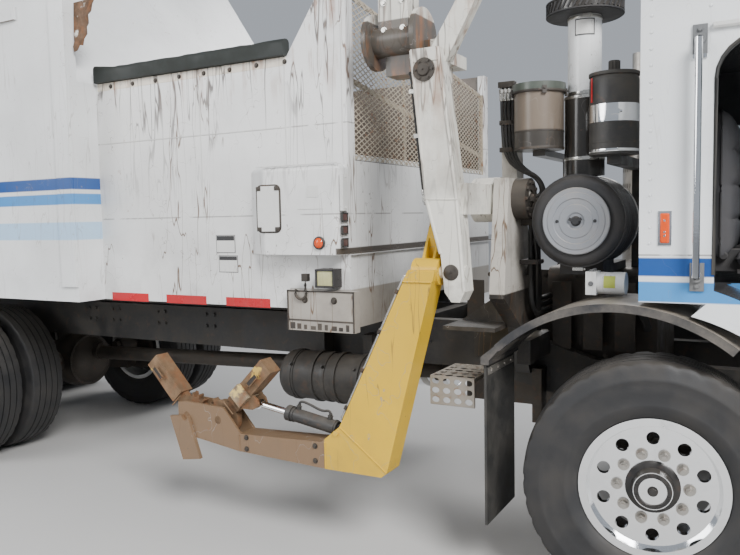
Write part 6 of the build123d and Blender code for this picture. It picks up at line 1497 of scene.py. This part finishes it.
@piece(ALLOY, smooth=True)
def tank_cap_and_seams(bm):
    add_disc(bm, FUEL_TANK + Vector((-1.90, 0.130, 0.2640)), Vector((0, 0.45, 0.9)),
             [(0, 0.0), (0, 0.056), (0.014, 0.056), (0.016, 0.050), (0.030, 0.050), (0.034, 0.044), (0.036, 0.0)])
    add_rings(bm, FUEL_TANK, AHEAD, (-2.795, 0.288, 0.3025, 0.012), (-2.796, 0.190, 0.200, 0.012),
              (-1.605, 0.288, 0.3025, 0.012), (-1.605, 0.190, 0.200, 0.012))


@piece(FRAME_BLACK, smooth=True)
def air_tank_straps(bm):
    for x in (-2.02, -1.805, -1.59):
        add_rings(bm, AIR_TANK, AHEAD, (x, 0.1425, 0.1475, 0.034))
        add_hexes(bm, Vector((0, -0.85, 0.5)), 0.008, 0.012, AIR_TANK + Vector((x, -0.128, 0.082)))
    add_rings(bm, AIR_TANK, AHEAD, (-2.106, 0.110, 0.120, 0.010), (-1.504, 0.110, 0.120, 0.010))
    add_hexes(bm, -UP, 0.012, 0.020, AIR_TANK + Vector((-1.70, 0, -0.1425)))


hose("air_line", [(-1.505, -0.640, 0.758), (-1.47, -0.640, 0.758), (-1.46, -0.60, 0.80), (-1.46, -0.52, 0.93),
                  (-1.50, -0.455, 1.0)], 0.007)


@piece(IRON, smooth=True)
def front_spring_leaves(bm):
    for way, out in OUTWARD:
        for k in range(3):
            half = 0.60 - 0.10 * k
            low = [(x, 0.516 + 0.015 * k + 0.110 * (x / 0.64) ** 2) for x in steps(-half, half, 24)]
            add_prism(bm, low + [(x, z + 0.0035) for x, z in low[::-1]], (0, way * 0.4335, 0), AHEAD, UP, out * 0.093)
        for x in (-0.062, 0.062):
            add_tube(bm, [(x, way * y, z) for y, z in ((0.424, 0.470), (0.424, 0.562), (0.436, 0.574), (0.524, 0.574),
                                                       (0.536, 0.562), (0.536, 0.470))], 0.010, 10)
            add_hexes(bm, -UP, 0.015, 0.018, *((x, way * y, 0.470) for y in (0.424, 0.536)))


@piece(IRON, smooth=True)
def rear_axle_fittings(bm):
    for x in (-4.753, -6.125):
        add_hexes(bm, AHEAD, 0.012, 0.012, *((x + 0.120, c, 0.538 + s) for c, s in around(12, 0.197)))
        add_ring(bm, (x + 0.118, 0, 0.538), AHEAD, 0.165, 0.212, 0.018)
        for way, _ in OUTWARD:
            add_ring(bm, (x, way * 0.575, 0.538), LEFT, 0.066, 0.102, 0.016)
            add_bar(bm, (x + 0.09, way * 0.33, 0.60), (x + 0.09, way * 0.50, 0.60), 0.060)
            add_bar(bm, (x + 0.09, way * 0.29, 0.60), (x + 0.09, way * 0.335, 0.60), 0.045)
    for x, z in ((-4.50, 0.620), (-1.40, 0.714), (-5.92, 0.620), (-4.98, 0.620)):
        add_ring(bm, (x, 0, z), AHEAD, 0.050, 0.072, 0.050)
        add_hexes(bm, AHEAD, 0.007, 0.008, *((x + 0.025, c, z + s) for c, s in around(4, 0.063)))


@piece(STEEL)
def flap_strips(bm):
    for way, _ in OUTWARD:
        add_hexes(bm, AHEAD, 0.008, 0.007, *((-0.656, way * (0.86 + 0.09 * k), 0.985) for k in range(4)),
                  *((-7.028, way * (0.66 + 0.14 * k), 1.015) for k in range(4)))
        add_boxes(bm, (-0.656, way * 0.82, 0.968), (-0.6535, way * 1.17, 1.002),
                  (-7.0305, way * 0.62, 0.995), (-7.027, way * 1.19, 1.033))


# Body and tailgate

@piece(BODY_WHITE, "body", smooth=True)
def rib_beads(bm):
    for y in (-1.2195, 1.2195):
        edges = [x + edge for x in (-7.245, -6.200, -5.100, -4.100) for edge in (-0.0505, 0.0505)]
        add_beads(bm, 0.004, *(((x, y, low), (x, y, high)) for x in edges
                               for low, high in ((1.215, 2.945), (3.035, 3.750))),
                  ((-7.19, y, 2.948), (-3.71, y, 2.948)), pitch=0.014)


@piece(BODY_WHITE, "body", smooth=True)
def post_beads(bm):
    add_beads(bm, 0.004, *(((x, -1.2195, low), (x, -1.2195, high))
                           for x, low, high in ((-3.2545, 1.215, 2.690), (-3.3845, 1.305, 3.045))), pitch=0.012)


@piece(FRAME_BLACK, "body")
def body_sill_bolts(bm):
    for way, out in OUTWARD:
        add_hexes(bm, out, 0.010, 0.009, *((-7.10 + 0.48 * k, way * 0.4255, 1.182) for k in range(12)))


@piece(IRON, "tailgate", bevel=0.0015)
def tailgate_clamps(bm):
    for way, out in OUTWARD:
        for z in (1.62, 2.40):
            add_block(bm, (-7.360, way * 1.226, z), UP, out, (0.150, 0.100, 0.012))
            add_bar(bm, (-7.360, way * 1.222, z - 0.045), (-7.360, way * 1.237, z - 0.045), 0.020)
            add_hexes(bm, out, 0.008, 0.006, *((-7.330, way * 1.231, z + shift) for shift in (-0.05, 0.05)))


@piece(BODY_WHITE, "tailgate", smooth=True)
def tailgate_beads(bm):
    add_beads(bm, 0.0045, *(((-7.3165, y, 1.225), (-7.3165, y, 3.730)) for y in (-1.2195, 1.2195)), pitch=0.014)


@piece(BLACK_PLASTIC, "tailgate", bevel=0.001)
def tail_lamp_rims(bm):
    for way, out in OUTWARD:
        for x in (-7.604, -7.545, -7.486, -7.428):
            add_block(bm, (x, way * 1.2395, 1.350), UP, out, (0.106, 0.006, 0.008))
        for z in (1.3005, 1.3995):
            add_block(bm, (-7.516, way * 1.2395, z), AHEAD, out, (0.184, 0.006, 0.008))


@piece(RED, "tailgate", smooth=True)
def tail_lamp_ribs(bm):
    for y in (-1.2398, 1.2398):
        for x in steps(-7.598, -7.433, 15):
            add_bar(bm, (x, y, 1.306), (x, y, 1.394), 0.0030, segments=6)


# Seats

PINCH = 0.10


def sewn(centre, up, size, u, v):
    """Place on a cushion's middle sheet, its sides pulled in, with u along and v across from -1 to 1."""
    along = LEFT.cross(up)
    long_way = size[0] / 2 * (u - PINCH * u * (1 - v * v) * 0.5 * abs(u) ** 6)
    wide_way = size[1] / 2 * (v - PINCH * v * (1 - u * u) * 0.5 * abs(v) ** 6)
    return centre + (along * long_way + LEFT * wide_way) * (1 - 0.05 * (abs(u) * abs(v)) ** 8)


def add_pillow(bm, centre, up, size, channels):
    """Crowned closed cushion of a length, width and thickness: its faces swell, and sewn channels cross it."""
    for way, swell in ((1, 0.010), (-1, 0.0035)):
        before = set(bm.verts)
        bmesh.ops.create_grid(bm, x_segments=44, y_segments=44, size=1.0)
        for vert in set(bm.verts) - before:
            u, v = vert.co.x, vert.co.y
            bulge = (1 - u ** 4) * (1 - v ** 4)
            rise = size[2] / 2 * (1 - max(abs(u), abs(v)) ** 10) + swell * bulge
            for channel in channels if way > 0 else ():
                rise -= 0.011 * exp(-((u - channel) / 0.035) ** 2) * (1 - v ** 8)
            rise += 0.0018 * sin(9 * u + 4 * v) * sin(7 * v - 3 * u) * bulge
            vert.co = sewn(centre, up, size, u, v) + up * way * max(rise, 0.0)
    bmesh.ops.remove_doubles(bm, verts=bm.verts, dist=0.0004)


for index, y, station in ((1, 0.620, 0.430), (2, -0.570, 0.330)):
    for name, centre, up, size, channels in (
            ("cushion", at(station + 0.200, y, 1.479), UP, (0.438, 0.458, 0.098), (-0.30, 0.30)),
            ("back", at(station - 0.075, y, 1.795), AHEAD, (0.648, 0.438, 0.106), (-0.45, 0.0, 0.45))):
        @piece(CLOTH, smooth=True, replaces=("seats",) if (name, index) == ("cushion", 1) else (),
               name=f"seat_{name}_{index}")
        def pillow(bm):
            add_pillow(bm, centre, up, size, channels)

        @piece(PIPING, smooth=True, name=f"seat_{name}_piping_{index}")
        def piping(bm):
            turns = steps(-1, 1, 20)[:-1]
            edge = [(u, -1) for u in turns] + [(1, v) for v in turns]
            edge += [(-u, -v) for u, v in edge]
            add_tube(bm, [sewn(centre, up, size, u, v) for u, v in edge + edge[:1]], 0.0042, 8)

    @piece(BLACK_PLASTIC, bevel=0.004, name=f"seat_plinth_{index}")
    def plinth(bm):
        add_boxes(bm, (station + 0.045, y - 0.115, 1.374), (station + 0.195, y + 0.115, 1.424),
                  (station - 0.010, y - 0.190, 1.410), (station + 0.400, y + 0.190, 1.432))
        for side in (y - 0.165, y + 0.165):
            add_boxes(bm, (station - 0.115, side - 0.012, 1.420), (station + 0.020, side + 0.012, 1.520))
        add_bar(bm, (station - 0.062, y - 0.205, 1.490), (station - 0.062, y + 0.205, 1.490), 0.018)


@piece(BLACK_PLASTIC, smooth=True)
def dashboard_gauges(bm):
    for y in (0.620, -0.480):
        for shift in (-0.12, 0.0, 0.12):
            add_ring(bm, (1.330, y + shift, 1.4135), Vector((-0.45, 0, 0.9)).normalized(), 0.036, 0.044, 0.016)
        for k in range(4):
            add_block(bm, (1.480, y - 0.12 + 0.08 * k, 1.4305), AHEAD, UP, (0.080, 0.060, 0.006))


# Stage

FLOOR_GREY, FLOOR_REACH = (0.58, 0.57, 0.555), 60.0


def add_stage():
    """Pale floor, soft lights and an even sky."""
    f = Finish("floor", roughness=0.8)
    mesh = bpy.data.meshes.new("floor")
    mesh.from_pydata([(x * FLOOR_REACH, y * FLOOR_REACH, 0) for x, y in ((-1, -1), (1, -1), (1, 1), (-1, 1))], [],
                     [(0, 1, 2, 3)])
    mesh.materials.append(f.done(f.mix(FLOOR_GREY, shade(FLOOR_GREY, 0.93), f.noise(1.3, 5.0)),
                                 height=f.noise(60.0, 4.0), strength=0.3))
    add_object("floor", mesh)
    world = bpy.data.worlds.new("studio")
    bpy.context.scene.world = world
    world.use_nodes = True
    world.node_tree.nodes["Background"].inputs["Color"].default_value = (0.80, 0.86, 0.95, 1)
    world.node_tree.nodes["Background"].inputs["Strength"].default_value = 0.50
    # Name, place, what it faces, size and power of each lamp
    for name, place, target, size, power in (
            ("key", at(6.5, -7.5, 8.5), at(-1.2, -1.0, 1.2), 5.0, 2300),
            ("fill", at(-7.5, -8.5, 5.0), at(-2.5, -1.0, 1.2), 6.0, 550),
            ("rim", at(-1.0, 8.0, 8.0), at(-1.5, 0.0, 2.0), 6.0, 800)):
        data = bpy.data.lights.new(name, "AREA")
        data.shape = "DISK"
        data.size = size
        data.energy = power
        add_object(name, data).matrix_world = facing(place, place - target)


add_stage()
